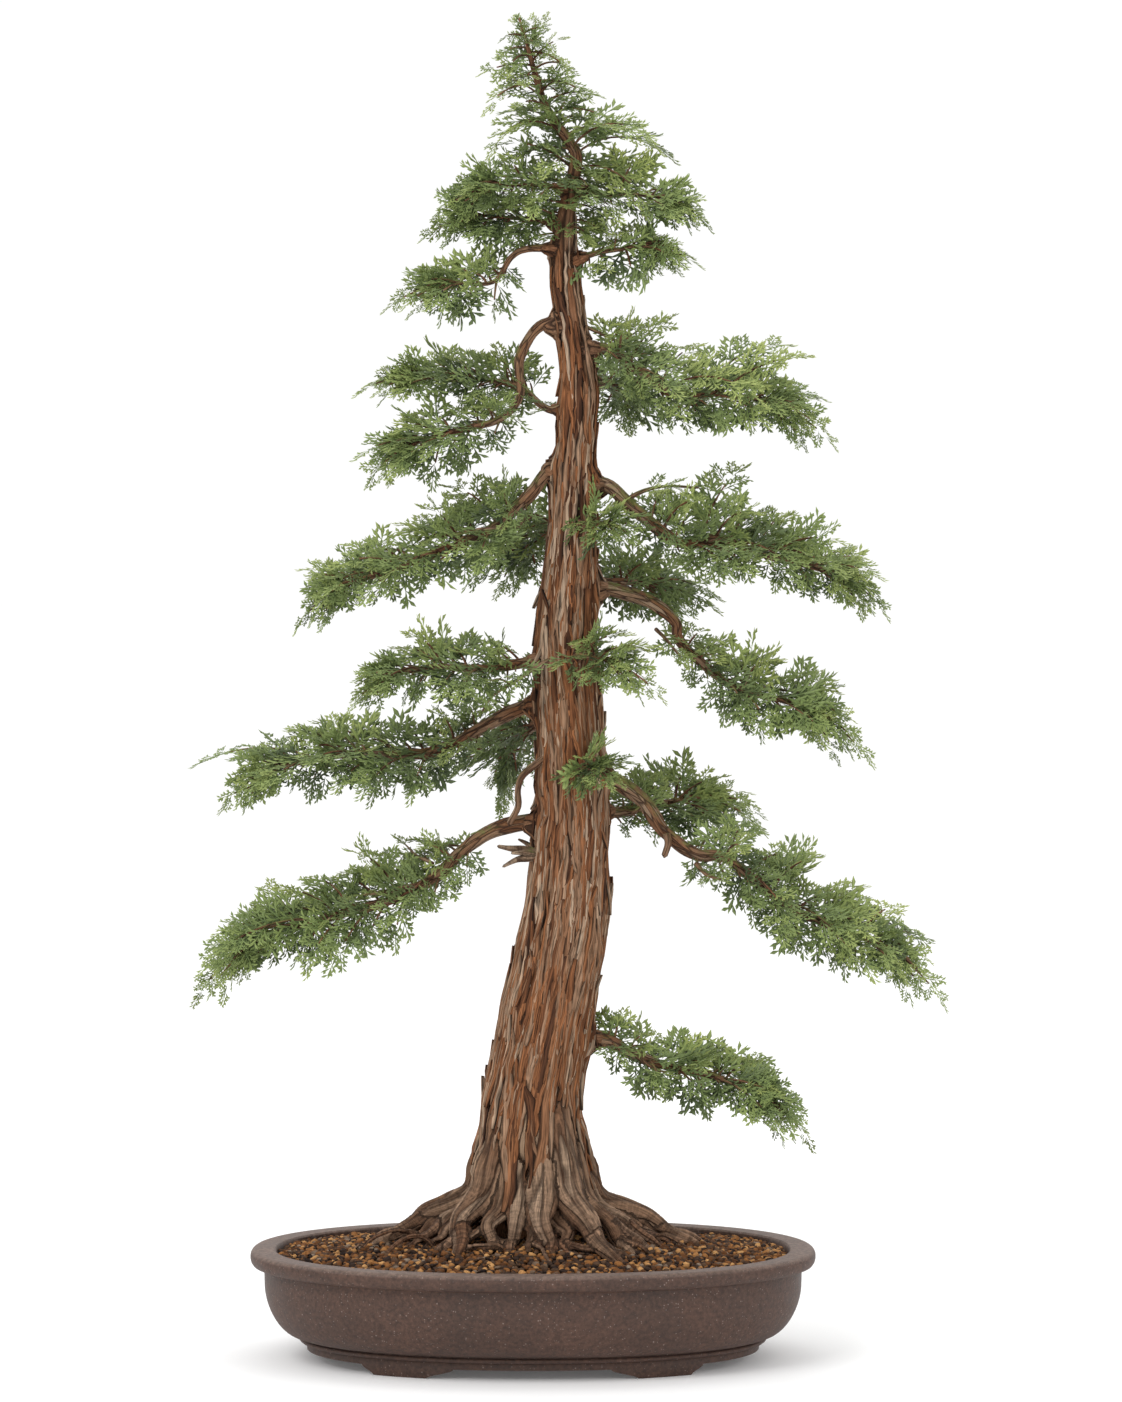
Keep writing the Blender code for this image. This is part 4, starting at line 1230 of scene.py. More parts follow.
def make_granules():
    """Two kinds of granule over the soil: warm baked clay and dark bits between."""
    turn = np.arange(POT_SIDES) * TAU / POT_SIDES
    clear = OVERHANG + WALL + 1.8 * MM
    shares = np.linspace(1.0, 0.2, 20)
    points = []
    for share in shares:
        across, away = oval(clear, turn)
        x, y = across * share, away * share
        points.append(np.stack([MIDDLE.x + x, MIDDLE.y + y, soil_height(x, y)], axis=-1))
    ids = np.arange(len(shares) * POT_SIDES).reshape(len(shares), POT_SIDES)
    nxt = np.roll(ids, -1, axis=1)
    quads = np.stack([ids[:-1], nxt[:-1], nxt[1:], ids[1:]], axis=-1).reshape(-1, 4)
    for name, material, spacing, smallest, largest, lift, seed, squash in (
        ("granules_warm", warm_clay, 4.0, 2.8, 5.2, 0.7, 11, 0.72),
        ("granules_dark", dark_clay, 3.3, 2.6, 5.2, 1.0, 23, 0.6),
    ):
        shapes = shape_box(name, [granule_shape(seed + k, 5, 6, squash, 0.5) for k in range(6)])
        surface = bpy.data.meshes.new(name)
        surface.from_pydata(np.concatenate(points), [], quads.tolist())
        maker = place(name + "_maker", surface)
        tree = scatter_tree(material)
        sizes = {"Spacing": spacing, "Smallest": smallest, "Largest": largest, "Lift": lift}
        sizes = {label: size * MM for label, size in sizes.items()}
        run_tree(maker, tree, {"Shapes": shapes, "Seed": seed, **sizes})
        piece = plain(maker, name)
        drop_attributes(piece.data, "shade", "tint")
        keep(piece, "soil_granules", "soil_bed")
        empty_box(shapes)


# ---- trunk and roots -------------------------------------------------------------------------


def trunk_rows(steps=4):
    """The trunk's middle line as x, y, z and radius."""
    rows = [
        (MIDDLE.x + right * MM, MIDDLE.y + back * MM, RIM_Z + height * MM, share * TRUNK_RADIUS)
        for height, right, back, share in TRUNK_LINE
    ]
    return smooth_rows(rows, steps)


TRUNK = trunk_rows()


def trunk_at(height):
    """The trunk's middle and radius at a height above the rim, in mm."""
    level = RIM_Z + height * MM
    return np.array([np.interp(level, TRUNK[:, 2], TRUNK[:, axis]) for axis in range(4)])


def root_line(degrees, reach, radius, lift, number):
    """A root that runs down the flare as a ridge, along the soil and then into it."""
    turn = math.radians(degrees)
    sway = 3.2 * math.sin(2.4 * number) * MM
    length = reach * MM
    thick = radius * MM
    stations = (
        (0.60 * TRUNK_RADIUS, (lift + 34) * MM, 0.6, 0.0),
        (0.92 * TRUNK_RADIUS, lift * 0.86 * MM, 0.95, 0.0),
        (1.16 * TRUNK_RADIUS, lift * 0.46 * MM, 1.0, 0.3),
        (0.40 * length + 0.78 * TRUNK_RADIUS, (4.0 + 0.20 * lift) * MM, 0.74, 1.0),
        (0.70 * length + 0.28 * TRUNK_RADIUS, 4.4 * MM, 0.58, -0.6),
        (0.92 * length, 3.0 * MM, 0.46, -1.0),
        (1.06 * length, -4 * MM, 0.26, 0.2),
    )
    rows = []
    for out, up, share, swing in stations:
        x = out * math.cos(turn) - swing * sway * math.sin(turn)
        y = out * math.sin(turn) + swing * sway * math.cos(turn)
        rows.append((MIDDLE.x + x, MIDDLE.y + y, soil_height(x, y) + up, share * thick))
    return smooth_rows(rows, 5)


def fork_line(parent, share, degrees, reach):
    """A thinner root that leaves another one and dives beside it."""
    spot = int(share * (len(parent) - 1))
    start, way = parent[spot], parent[spot + 1] - parent[spot - 1]
    heading = math.atan2(way[1], way[0])
    rows = [tuple(start)]
    for step, (out, bend) in enumerate(((0.3, 1.3), (0.65, 1.0), (1.0, 0.7))):
        turn = heading + math.radians(degrees) * bend * 1.6
        x, y = start[0] + math.cos(turn) * out * reach * MM, start[1] + math.sin(turn) * out * reach * MM
        ground = soil_height(x - MIDDLE.x, y - MIDDLE.y)
        up = (start[2] - ground) * (0.55, 0.2, 0.0)[step] - (0.0, 0.5, 4.5)[step] * MM
        rows.append((x, y, ground + up, start[3] * (0.78, 0.62, 0.3)[step]))
    return smooth_rows(rows, 4)


def relief_tree():
    """Bark relief: takes grain from the plain tubes under it, then raises plates and fibres."""
    tree, given, out = new_group(
        "bark_relief",
        "GeometryNodeTree",
        [
            ("Skin", "NodeSocketGeometry", None),
            ("Tubes", "NodeSocketObject", None),
            ("Plate width", "NodeSocketFloat", 7.5 * MM),
            ("Plate length", "NodeSocketFloat", 62 * MM),
            ("Depth", "NodeSocketFloat", 2.2 * MM),
        ],
        [("Bark", "NodeSocketGeometry", None)],
    )
    source = wire(tree, "GeometryNodeObjectInfo", {"Object": given["Tubes"]}).outputs["Geometry"]
    skin = given["Skin"]
    for name, kind in WOOD_VALUES.items():
        value = named(tree, name, kind)
        inputs = {"Mesh": source, "Value": value}
        taken = wire(tree, "GeometryNodeSampleNearestSurface", inputs, data_type=kind)
        skin = stored(tree, skin, name, taken.outputs[0], kind)
    grain = named(tree, "grain", "FLOAT_VECTOR")
    width, length = given["Plate width"], given["Plate length"]
    _, edge, tint = plates(tree, grain, width, length, "FunctionNodeSeparateColor")
    rise = spread(tree, edge, 0.0, 0.22, -1.0, 0.0, smooth=True)
    rise = maths(tree, "MULTIPLY_ADD", tint, 0.55, rise)
    broad = speckle(tree, vectors(tree, "MULTIPLY", grain, (30.0, 30.0, 9.0)), 1.0, 2.0)
    rise = maths(tree, "MULTIPLY_ADD", broad, 0.9, rise)
    rise = maths(tree, "SUBTRACT", rise, 0.35)
    rise = maths(tree, "MULTIPLY", maths(tree, "MULTIPLY", rise, given["Depth"]), named(tree, "age"))
    offset = scaled(tree, tree.nodes.new("GeometryNodeInputNormal").outputs[0], rise)
    moved = wire(tree, "GeometryNodeSetPosition", {"Geometry": skin, "Offset": offset}).outputs[0]
    real = wire(tree, "GeometryNodeRealizeInstances", {0: moved}).outputs[0]
    done = wire(tree, "GeometryNodeSetMaterial", {"Geometry": real, "Material": trunk_bark}).outputs[0]
    tree.links.new(done, out[0])
    return tree


def make_trunk():
    """Trunk, root flare, roots and branch collars, grown together under one bark."""
    wood = Wood()
    levels = (TRUNK[:, 2] - RIM_Z) / MM
    lower = TRUNK[levels <= LEADER_FROM + 12].copy()
    lower[0, 2] = RIM_Z - 24 * MM
    age = np.clip(lower[:, 3] / (14 * MM), 0.3, 1.0)
    grey = np.clip(0.34 - (lower[:, 2] - RIM_Z) / 0.2, 0, 0.3)
    wood.add(lower, 40, age, grey, gnarl=0.13)
    for number, (degrees, reach, radius, lift, forks) in enumerate(ROOTS):
        rows = root_line(degrees, reach, radius, lift, number)
        grey = np.linspace(0.3, 1.0, len(rows)) ** 0.7
        wood.add(rows, 14, np.linspace(0.7, 0.2, len(rows)), grey, gnarl=0.26)
        for share, turn, length in forks:
            wood.add(fork_line(rows, share, turn, length), 10, 0.35, 0.9, gnarl=0.3)
    for thick, points in LYING_ROOTS:
        rows = []
        for step, (x, y, up) in enumerate(points):
            narrowing = 1 - 0.5 * step / len(points)
            x, y = x * MM, y * MM
            rows.append((MIDDLE.x + x, MIDDLE.y + y, soil_height(x, y) + up * MM, thick * narrowing * MM))
        wood.add(smooth_rows(rows, 5), 10, 0.3, 0.9, gnarl=0.3)
    for (height, thick, points), _ in BRANCHES.values():
        start = trunk_at(height)
        way = unit(points[0])
        reach = start[3] + 7 * MM
        rows = []
        for out, wide in ((0.2, 2.1), (0.6, 1.9), (0.8, 1.5), (1.0, 1.12)):
            spot = start[:3] + way * reach * out - (0, 0, (1 - out) * 3 * MM)
            rows.append((*spot, wide * (thick * BRANCH_RADIUS)))
        wood.add(smooth_rows(rows, 3), 12, 0.4, 0.1, gnarl=0.2)
    tubes = place("trunk_tubes", wood.mesh("trunk_tubes"))
    maker = place("trunk_maker", tubes.data.copy())
    drop_attributes(maker.data, *WOOD_VALUES)
    skin = maker.modifiers.new("skin", "REMESH")
    skin.mode = "VOXEL"
    skin.voxel_size = 1.6 * MM
    skin.use_smooth_shade = True
    run_tree(maker, relief_tree(), {"Tubes": tubes})
    piece = plain(maker, "trunk_and_root_flare")
    bpy.data.objects.remove(tubes)
    return keep(piece, "bark", "trunk_and_roots", material=trunk_bark)


def strip_shape(number):
    """A torn strip of bark about 1 long, thin at its edges, one end standing off the trunk."""
    rng = np.random.default_rng(60 + number)
    bm = bmesh.new()
    shades = bm.loops.layers.uv.new("shade")
    rings, places, rises = [], {}, {}
    count = 9
    wander = rng.uniform(-0.012, 0.012, count)
    for step in range(count):
        share = step / (count - 1)
        wide = 0.033 * (math.sin(math.pi * (0.06 + 0.88 * share)) ** 0.3) * rng.uniform(0.75, 1.2)
        if step in (0, count - 1):
            wide *= rng.uniform(0.45, 0.9)
        middle = wander[step] + 0.02 * math.sin(2.2 * share + number)
        ring = []
        for x, z, across in ((-wide, 0.45, -1.0), (-0.1 * wide, 1.0, 0.0), (wide, 0.5, 1.0), (0, -0.9, 0.4)):
            vert = bm.verts.new((middle + x, share - 0.5, 0.01 * z))
            places[vert] = (0.03 + 0.94 * share, across)
            rises[vert] = (z if 0 < step < count - 1 else z * 0.5, max(0.0, 2.4 * share - 1.4) ** 2)
            ring.append(vert)
        rings.append(ring)
    bridge(bm, rings)
    bm.faces.new(rings[0][::-1])
    bm.faces.new(rings[-1])
    bmesh.ops.recalc_face_normals(bm, faces=bm.faces)
    for face in bm.faces:
        for loop in face.loops:
            loop[shades].uv = places[loop.vert]
    held = [rises[vert] for vert in bm.verts]
    mesh = to_mesh(bm, f"strip_{number}")
    set_values(mesh, "rise", [rise for rise, _ in held])
    set_values(mesh, "peel", [peel for _, peel in held])
    mesh.shade_smooth()
    mesh.set_sharp_from_angle(angle=math.radians(35))
    return mesh


def strips_tree():
    """Strips laid along the run of the bark and bent to it, a few peeling at one end."""
    tree, given, out = new_group(
        "bark_strips",
        "GeometryNodeTree",
        [
            ("Trunk", "NodeSocketGeometry", None),
            ("Shapes", "NodeSocketCollection", None),
            ("Spacing", "NodeSocketFloat", 4 * MM),
            ("Shortest", "NodeSocketFloat", 20 * MM),
            ("Longest", "NodeSocketFloat", 55 * MM),
            ("Thickness", "NodeSocketFloat", 1 * MM),
            ("Seed", "NodeSocketInt", 5),
        ],
        [("Strips", "NodeSocketGeometry", None)],
    )
    age = named(tree, "age")
    worn = spread(tree, named(tree, "grey"), 0.04, 0.2, 1.0, 0.0)
    strewn = {
        "Mesh": given["Trunk"],
        "Distance Min": given["Spacing"],
        "Density Max": 1.2e5,
        "Density Factor": maths(tree, "MULTIPLY", spread(tree, age, 0.35, 0.7), worn),
        "Seed": given["Seed"],
    }
    made = wire(tree, "GeometryNodeDistributePointsOnFaces", strewn, distribute_method="POISSON")
    points, normal = made.outputs["Points"], made.outputs["Normal"]
    seeds = [maths(tree, "ADD", given["Seed"], float(step)) for step in range(1, 6)]
    points = stored(tree, points, "tint", random_value(tree, 0.0, 1.0, seeds[0]))
    flip = maths(tree, "SIGN", random_value(tree, -0.4, 1.0, seeds[1]))
    run = scaled(tree, named(tree, "run", "FLOAT_VECTOR"), flip)
    turn = aligned(tree, {"Vector": normal}, "Z")
    turn = aligned(tree, {"Rotation": turn, "Vector": run}, "Y", "Z")
    lean = random_value(tree, (-0.008, 0.0, -0.05), (0.008, 0.0, 0.05), seeds[2], "FLOAT_VECTOR")
    lean = wire(tree, "FunctionNodeEulerToRotation", {0: lean}).outputs[0]
    leant = {"Rotation": turn, "Rotate By": lean}
    turn = wire(tree, "FunctionNodeRotateRotation", leant, rotation_space="LOCAL").outputs[0]
    loose = spread(tree, random_value(tree, 0.0, 1.0, seeds[4]), 0.78, 1.0, 0.0, 4.0 * MM)
    points = stored(tree, points, "loose", loose)
    size = random_value(tree, given["Shortest"], given["Longest"], seeds[3])
    size = maths(tree, "MULTIPLY", size, spread(tree, age, 0.35, 1.0, 0.45, 1.0))
    stretch = random_value(tree, (0.8, 0.8, 0.7), (1.35, 1.1, 1.2), seeds[4], "FLOAT_VECTOR")
    index = random_value(tree, 0, 5, seeds[1], "INT")
    stood = set_shapes(tree, points, given["Shapes"], index, turn, scaled(tree, stretch, size))
    laid = wire(tree, "GeometryNodeRealizeInstances", {0: stood}).outputs[0]
    here = tree.nodes.new("GeometryNodeInputPosition").outputs[0]
    blurred = {"Value": here, "Iterations": 10}
    even = wire(tree, "GeometryNodeBlurAttribute", blurred, data_type="FLOAT_VECTOR").outputs[0]
    bed = wire(tree, "GeometryNodeSetPosition", {"Geometry": given["Trunk"], "Position": even}).outputs[0]
    under = []
    for value in (here, tree.nodes.new("GeometryNodeInputNormal").outputs[0]):
        inputs = {"Mesh": bed, "Value": value}
        taken = wire(tree, "GeometryNodeSampleNearestSurface", inputs, data_type="FLOAT_VECTOR")
        under.append(taken.outputs[0])
    rise = maths(tree, "MULTIPLY", named(tree, "rise"), given["Thickness"])
    rise = maths(tree, "MULTIPLY_ADD", named(tree, "peel"), named(tree, "loose"), rise)
    spot = vectors(tree, "ADD", under[0], scaled(tree, under[1], rise))
    bent = wire(tree, "GeometryNodeSetPosition", {"Geometry": laid, "Position": spot}).outputs[0]
    palette_end(tree, bent, loose_bark, out)
    return tree


def make_strips(trunk):
    """The shaggy outer bark."""
    shapes = shape_box("strips", [strip_shape(k) for k in range(6)])
    maker = place("strips_maker", trunk.data.copy())
    sizes = {"Spacing": 5.4 * MM, "Shortest": 34 * MM, "Longest": 84 * MM, "Thickness": 2.1 * MM}
    run_tree(maker, strips_tree(), {"Shapes": shapes, "Seed": 5, **sizes})
    piece = plain(maker, "shaggy_bark")
    drop_attributes(piece.data, "shade", "tint", "rise", "peel", "loose", *WOOD_VALUES)
    keep(piece, "bark", "trunk_and_roots")
    empty_box(shapes)


# ---- branches and foliage --------------------------------------------------------------------


def branch_rows(height, thick, points):
    """A branch's line from the trunk's middle outwards, as x, y, z and radius."""
    start = trunk_at(height)
    thick = thick * BRANCH_RADIUS
    rows = [(*start[:3], 1.15 * thick)]
    for number, step in enumerate(points):
        share = (number + 1) / len(points)
        rows.append((*(start[:3] + np.array(step) * MM), thick * (1 - 0.66 * share)))
    return smooth_rows(rows, 7)


def at_share(rows, lengths, share):
    reach = share * lengths[-1]
    return np.array([np.interp(reach, lengths, rows[:, axis]) for axis in range(rows.shape[1])])


def shoot_line(start, way, length, rise, droop, rng, steps=9):
    """A leafy shoot's line, which sets off at a rise and bends down by the droop (degrees)."""
    points = [np.array(start, float)]
    heading = math.atan2(way[1], way[0])
    curl = rng.uniform(-0.25, 0.25)
    for step in range(steps):
        share = step / (steps - 1)
        tilt = math.radians(rise - droop * share)
        turn = heading + curl * share
        ahead = np.array([math.cos(turn) * math.cos(tilt), math.sin(turn) * math.cos(tilt), math.sin(tilt)])
        points.append(points[-1] + ahead * length / steps)
    return np.array(points)


class Foliage:
    """Sprays waiting to be set: where each sits, where it aims and faces, its size and tint."""

    def __init__(self, seed):
        self.rng = np.random.default_rng(seed)
        self.rows = []

    def dress(self, points, tint, outward=(0, 0, 0), spacing=5.0, largest=32.0, bare=0.10):
        """Sprays on both sides of a shoot, alternate, shorter towards its tip."""
        rng = self.rng
        outward = np.array(outward, float) * rng.uniform(0.5, 1.7)
        lengths = lengths_along(points)
        total = lengths[-1]
        reach, side = bare * total, rng.choice((-1, 1))
        roll = rng.normal(0, 0.25)
        while reach < total - 3 * MM:
            share = reach / total
            spot = at_share(points, lengths, share)
            ahead = at_share(points, lengths, min(1, share + 0.08))
            ahead = unit(ahead - at_share(points, lengths, max(0, share - 0.08)))
            up = outward + (0, 0, 1.0)
            up = unit(up - ahead * np.dot(ahead, up))
            across = np.cross(ahead, up)
            face = unit(up * math.cos(roll) + across * math.sin(roll))
            across = np.cross(ahead, face)
            angle = math.radians(rng.normal(50 - 16 * share, 7))
            aim = ahead * math.cos(angle) + across * side * math.sin(angle) + rng.normal(0, 0.14, 3)
            aim = unit(aim + face * rng.uniform(-0.18, 0.22))
            size = largest * (1 - 0.62 * share) * rng.uniform(0.72, 1.08)
            face = unit(face + rng.normal(0, 0.24, 3))
            # Sprays are tinted paler towards the shoot's end: young growth, and painted light on the pad's
            # outside.
            self.set(spot, aim, face, size, tint + 0.2 * (share - 0.5) + rng.normal(0, 0.09))
            side = -side
            reach += spacing * MM * rng.uniform(0.75, 1.25)
        ahead = unit(points[-1] - points[-2])
        face = unit(np.array([0, 0, 1.0]) - ahead * ahead[2] + rng.normal(0, 0.15, 3))
        # The end spray is tinted paler still: young growth, and painted light on the pad's outside.
        self.set(points[-1] - ahead * 4 * MM, ahead, face, largest * 0.56, tint + 0.18)

    def set(self, spot, aim, face, size, tint):
        kind = self.rng.integers(0, SPRAY_KINDS)
        self.rows.append((*spot, *aim, *face, size * MM, min(1.0, max(0.0, tint)), kind))

    def piece(self, name, node, shapes, tree):
        """The sprays set on their points, as one finished piece."""
        rows = np.array(self.rows)
        mesh = bpy.data.meshes.new(name)
        mesh.from_pydata(rows[:, :3], [], [])
        set_vectors(mesh, "aim", rows[:, 3:6])
        set_vectors(mesh, "face", rows[:, 6:9])
        set_values(mesh, "size", rows[:, 9])
        set_values(mesh, "tint", rows[:, 10])
        set_values(mesh, "kind", rows[:, 11].astype(np.int32), "INT")
        maker = place(name + "_maker", mesh)
        run_tree(maker, tree, {"Shapes": shapes, "Spray size": 1.0})
        piece = plain(maker, name)
        drop_attributes(piece.data, "shade", "tint", "aim", "face", "size", "kind")
        return keep(piece, "foliage", node)


def spray_shape(number):
    """A flat spray about 1 long: a stem with alternate side shoots of scale-leaf fingers."""
    rng = np.random.default_rng(80 + number)
    verts, faces, shades = [], [], []

    def finger(start, end, wide, low, high):
        start, end = np.array(start), np.array(end)
        way = end - start
        side = unit(np.cross(way, (0, 0, 1.0))) * wide
        body = start + way * 0.62
        thick = np.array([0, 0, wide * 0.45])
        base = len(verts)
        verts.extend([start + thick * 0.3, end + thick * 0.3, body + side - thick, body - side - thick])
        spots = [(low, 0.0), (high, 0.0), ((low + high) / 2, -1.0), ((low + high) / 2, 1.0)]
        for face in ((0, 2, 1), (0, 1, 3), (0, 3, 2), (1, 2, 3)):
            faces.append([base + corner for corner in face])
            shades.extend(spots[corner] for corner in face)

    def stem(share):
        return np.array([0.05 * math.sin(3 * share + number), share, -0.10 * share * share])

    finger(stem(0), stem(0.62), 0.029, 0.02, 0.5)
    finger(stem(0.5), stem(1.0), 0.048, 0.5, 1.0)
    count = 4
    for step in range(count):
        for side in (-1, 1):
            share = 0.12 + (step + (0.5 if side > 0 else 0.0)) * 0.80 / count + rng.uniform(-0.02, 0.02)
            lean = math.radians(rng.uniform(38, 52))
            reach = 0.50 * (1 - 0.62 * share) * rng.uniform(0.85, 1.15)
            way = np.array([side * math.sin(lean), math.cos(lean), rng.uniform(-0.10, 0.16)])
            start = stem(share)
            finger(start, start + way * reach, 0.046, 0.25 + 0.3 * share, 0.75 + 0.25 * share)
            if step < 3:
                inner = start + way * reach * rng.uniform(0.38, 0.5)
                turn = lean - math.radians(rng.uniform(38, 50))
                small = np.array([side * math.sin(turn), math.cos(turn), rng.uniform(-0.1, 0.15)])
                finger(inner, inner + small * reach * 0.52, 0.041, 0.45 + 0.25 * share, 0.85)
            if step < 2:
                inner = start + way * reach * rng.uniform(0.52, 0.66)
                turn = lean + math.radians(rng.uniform(34, 48))
                small = np.array([side * math.sin(turn), math.cos(turn), rng.uniform(-0.15, 0.1)])
                finger(inner, inner + small * reach * 0.40, 0.040, 0.45 + 0.25 * share, 0.85)
    mesh = bpy.data.meshes.new(f"spray_{number}")
    mesh.from_pydata(verts, [], faces)
    layer = mesh.uv_layers.new(name="shade")
    layer.uv.foreach_set("vector", np.ravel(shades))
    return mesh


def sprays_tree():
    """A spray on every point, aimed and faced as the point says."""
    tree, given, out = new_group(
        "sprays_on_shoots",
        "GeometryNodeTree",
        [
            ("Points", "NodeSocketGeometry", None),
            ("Shapes", "NodeSocketCollection", None),
            ("Spray size", "NodeSocketFloat", 1.0),
        ],
        [("Sprays", "NodeSocketGeometry", None)],
    )
    points = wire(tree, "GeometryNodeMeshToPoints", {0: given["Points"]}).outputs[0]
    turn = aligned(tree, {"Vector": named(tree, "aim", "FLOAT_VECTOR")}, "Y")
    turn = aligned(tree, {"Rotation": turn, "Vector": named(tree, "face", "FLOAT_VECTOR")}, "Z", "Y")
    scale = maths(tree, "MULTIPLY", named(tree, "size"), given["Spray size"])
    scale = wire(tree, "ShaderNodeCombineXYZ", {0: scale, 1: scale, 2: scale}).outputs[0]
    stood = set_shapes(tree, points, given["Shapes"], named(tree, "kind", "INT"), turn, scale)
    palette_end(tree, stood, scale_leaves, out)
    return tree


def add_shoot(wood, leaves, points, thick, tint, **dressing):
    """A shoot's thin stem in the branch's wood, and its sprays in the foliage."""
    radii = np.linspace(thick, 0.35, len(points)) * MM
    rows = np.column_stack([points, radii])
    bare = slice(max(3, int(len(rows) * 0.85)))
    wood.add(rows[bare], 5, np.linspace(0.3, 0.0, len(rows))[bare])
    leaves.dress(points, tint, **dressing)


def add_twig(wood, thick, thin, points):
    """A twig whose points count from the pot's middle and rim; gives back its line."""
    radii = np.linspace(thick, thin, len(points)) * MM
    corner = (MIDDLE.x, MIDDLE.y, RIM_Z)
    rows = np.column_stack([np.array(points, float) * MM + corner, radii])
    rows = smooth_rows(rows, 4)
    wood.add(rows, 8, 0.5, 0.5, gnarl=0.3)
    return rows


def pad_width(share):
    """How wide a pad is along its length: soon full, then down to a point."""
    return min(1.0, (share + 0.2) / 0.4, (1.04 - share) / 0.6)


def add_pad(wood, leaves, rows, pad, rng):
    """Side shoots along a branch: flat ones, tops that stand up and low ones that hang."""
    start, past, front, back, height, droop = pad
    lengths = lengths_along(rows)
    total = lengths[-1]
    bare = start * total
    reach = total + past * MM
    spot = bare * 0.86
    side = rng.choice((-1, 1))
    layer = 0
    while spot < total * 0.985:
        share = (spot - bare) / (reach - bare)
        middle = at_share(rows, lengths, spot / total)
        ahead = at_share(rows, lengths, min(1, spot / total + 0.05))
        ahead = unit(ahead - at_share(rows, lengths, spot / total - 0.05))[:3]
        flat = unit(np.array([ahead[0], ahead[1], 0]))
        across = np.array([-flat[1], flat[0], 0]) * side
        full = max(0.15, pad_width(share))
        behind = across[1] > 0
        angle = math.radians(rng.normal(62 - 30 * max(share, 0), 8))
        way = flat * math.cos(angle) + across * math.sin(angle)
        wide = back if behind else front
        flat_reach = wide * full / max(0.5, math.sin(angle)) * rng.uniform(0.78, 1.05)
        top_reach = height * (0.40 + 0.70 * full) * rng.uniform(0.85, 1.2)
        low_reach = (3 + 0.75 * droop) * (0.4 + 0.6 * full) * rng.uniform(0.75, 1.25)
        low_reach = min(flat_reach, low_reach)
        flat_rise = rng.uniform(8, 30) if behind else rng.uniform(-10, 16)
        flat_bend = rng.uniform(14, 34) + droop * 0.4
        top_rise = rng.uniform(38, 74) * (1.1 - 0.6 * max(share, 0))
        # The last number of each kind is its tint: painted light makes the tops that stand up paler, painted
        # shade makes the low ones that hang darker, and the flat ones sit between.
        shoots = {
            "flat": (flat_rise, flat_bend, flat_reach, 0.50),
            "top": (top_rise, rng.uniform(30, 62), min(flat_reach, top_reach), 0.68),
            "low": (rng.uniform(-56, -18), rng.uniform(6, 28), low_reach, 0.30),
        }
        kinds = BACK_SHOOTS if behind else FRONT_SHOOTS
        rise, bend, length, tint = shoots[kinds[layer // 2 % len(kinds)]]
        rise += math.degrees(math.asin(ahead[2])) * 0.5 * math.cos(angle)
        line = shoot_line(middle[:3], way, length * MM, rise, bend, rng)
        outward = across * (-0.5 if behind else 1.0)
        size = (17 if low_reach == length else 20) + 14 * full
        add_shoot(wood, leaves, line, 0.9, tint + rng.normal(0, 0.09), outward=outward, largest=size)
        side = -side
        layer += 1
        spot += rng.uniform(2.0, 3.8) * MM


def add_tip(wood, leaves, rows, past, wider, rng):
    """The fan of shoots that goes on past a branch's end."""
    ahead = unit(rows[-1, :3] - rows[-4, :3])
    flat = unit(np.array([ahead[0], ahead[1], 0]))
    slope = math.degrees(math.asin(ahead[2]))
    for turn, share, lift in TIP_FAN:
        angle = math.radians(turn * wider + rng.normal(0, 4))
        right = flat[0] * math.cos(angle) - flat[1] * math.sin(angle)
        back = flat[0] * math.sin(angle) + flat[1] * math.cos(angle)
        way = np.array([right, back, 0])
        line = shoot_line(rows[-2, :3], way, (past + 3) * share * MM, slope + lift, 30, rng)
        outward = np.array([-flat[1], flat[0], 0]) * (1 if turn > 0 else -1)
        # Shoots that rise get a paler tint and drooping ones a darker one: painted light and painted shade.
        tint = 0.6 + lift / 120 + rng.normal(0, 0.06)
        add_shoot(wood, leaves, line, 1.0, tint, outward=outward, largest=16 + 8 * share)


def make_branch(name, number, wood_sizes, pad, shapes, tree):
    """One branch: its wood with side shoots, and the pad of sprays that they carry."""
    rows = branch_rows(*wood_sizes)
    rng = np.random.default_rng(100 + number)
    leaves = Foliage(300 + number)
    wood = Wood()
    wood.add(rows, 12, np.linspace(0.9, 0.3, len(rows)), 0.25, gnarl=0.34)
    for thick, thin, points in TWIGS.get(name, ()):
        line = add_twig(wood, thick, thin, points)
        if thick < 2.3 and len(points) < 5:
            leaves.dress(line[:, :3], 0.55, largest=27.0, bare=0.35)
    add_pad(wood, leaves, rows, pad, rng)
    add_tip(wood, leaves, rows, pad[1], 3.2 if name.startswith("front") else 1, rng)
    piece = place("wood_" + name, wood.mesh("wood_" + name))
    keep(piece, "bark", "branch_" + name, material=branch_bark)
    leaves.piece("sprays_" + name, "foliage_" + name, shapes, tree)


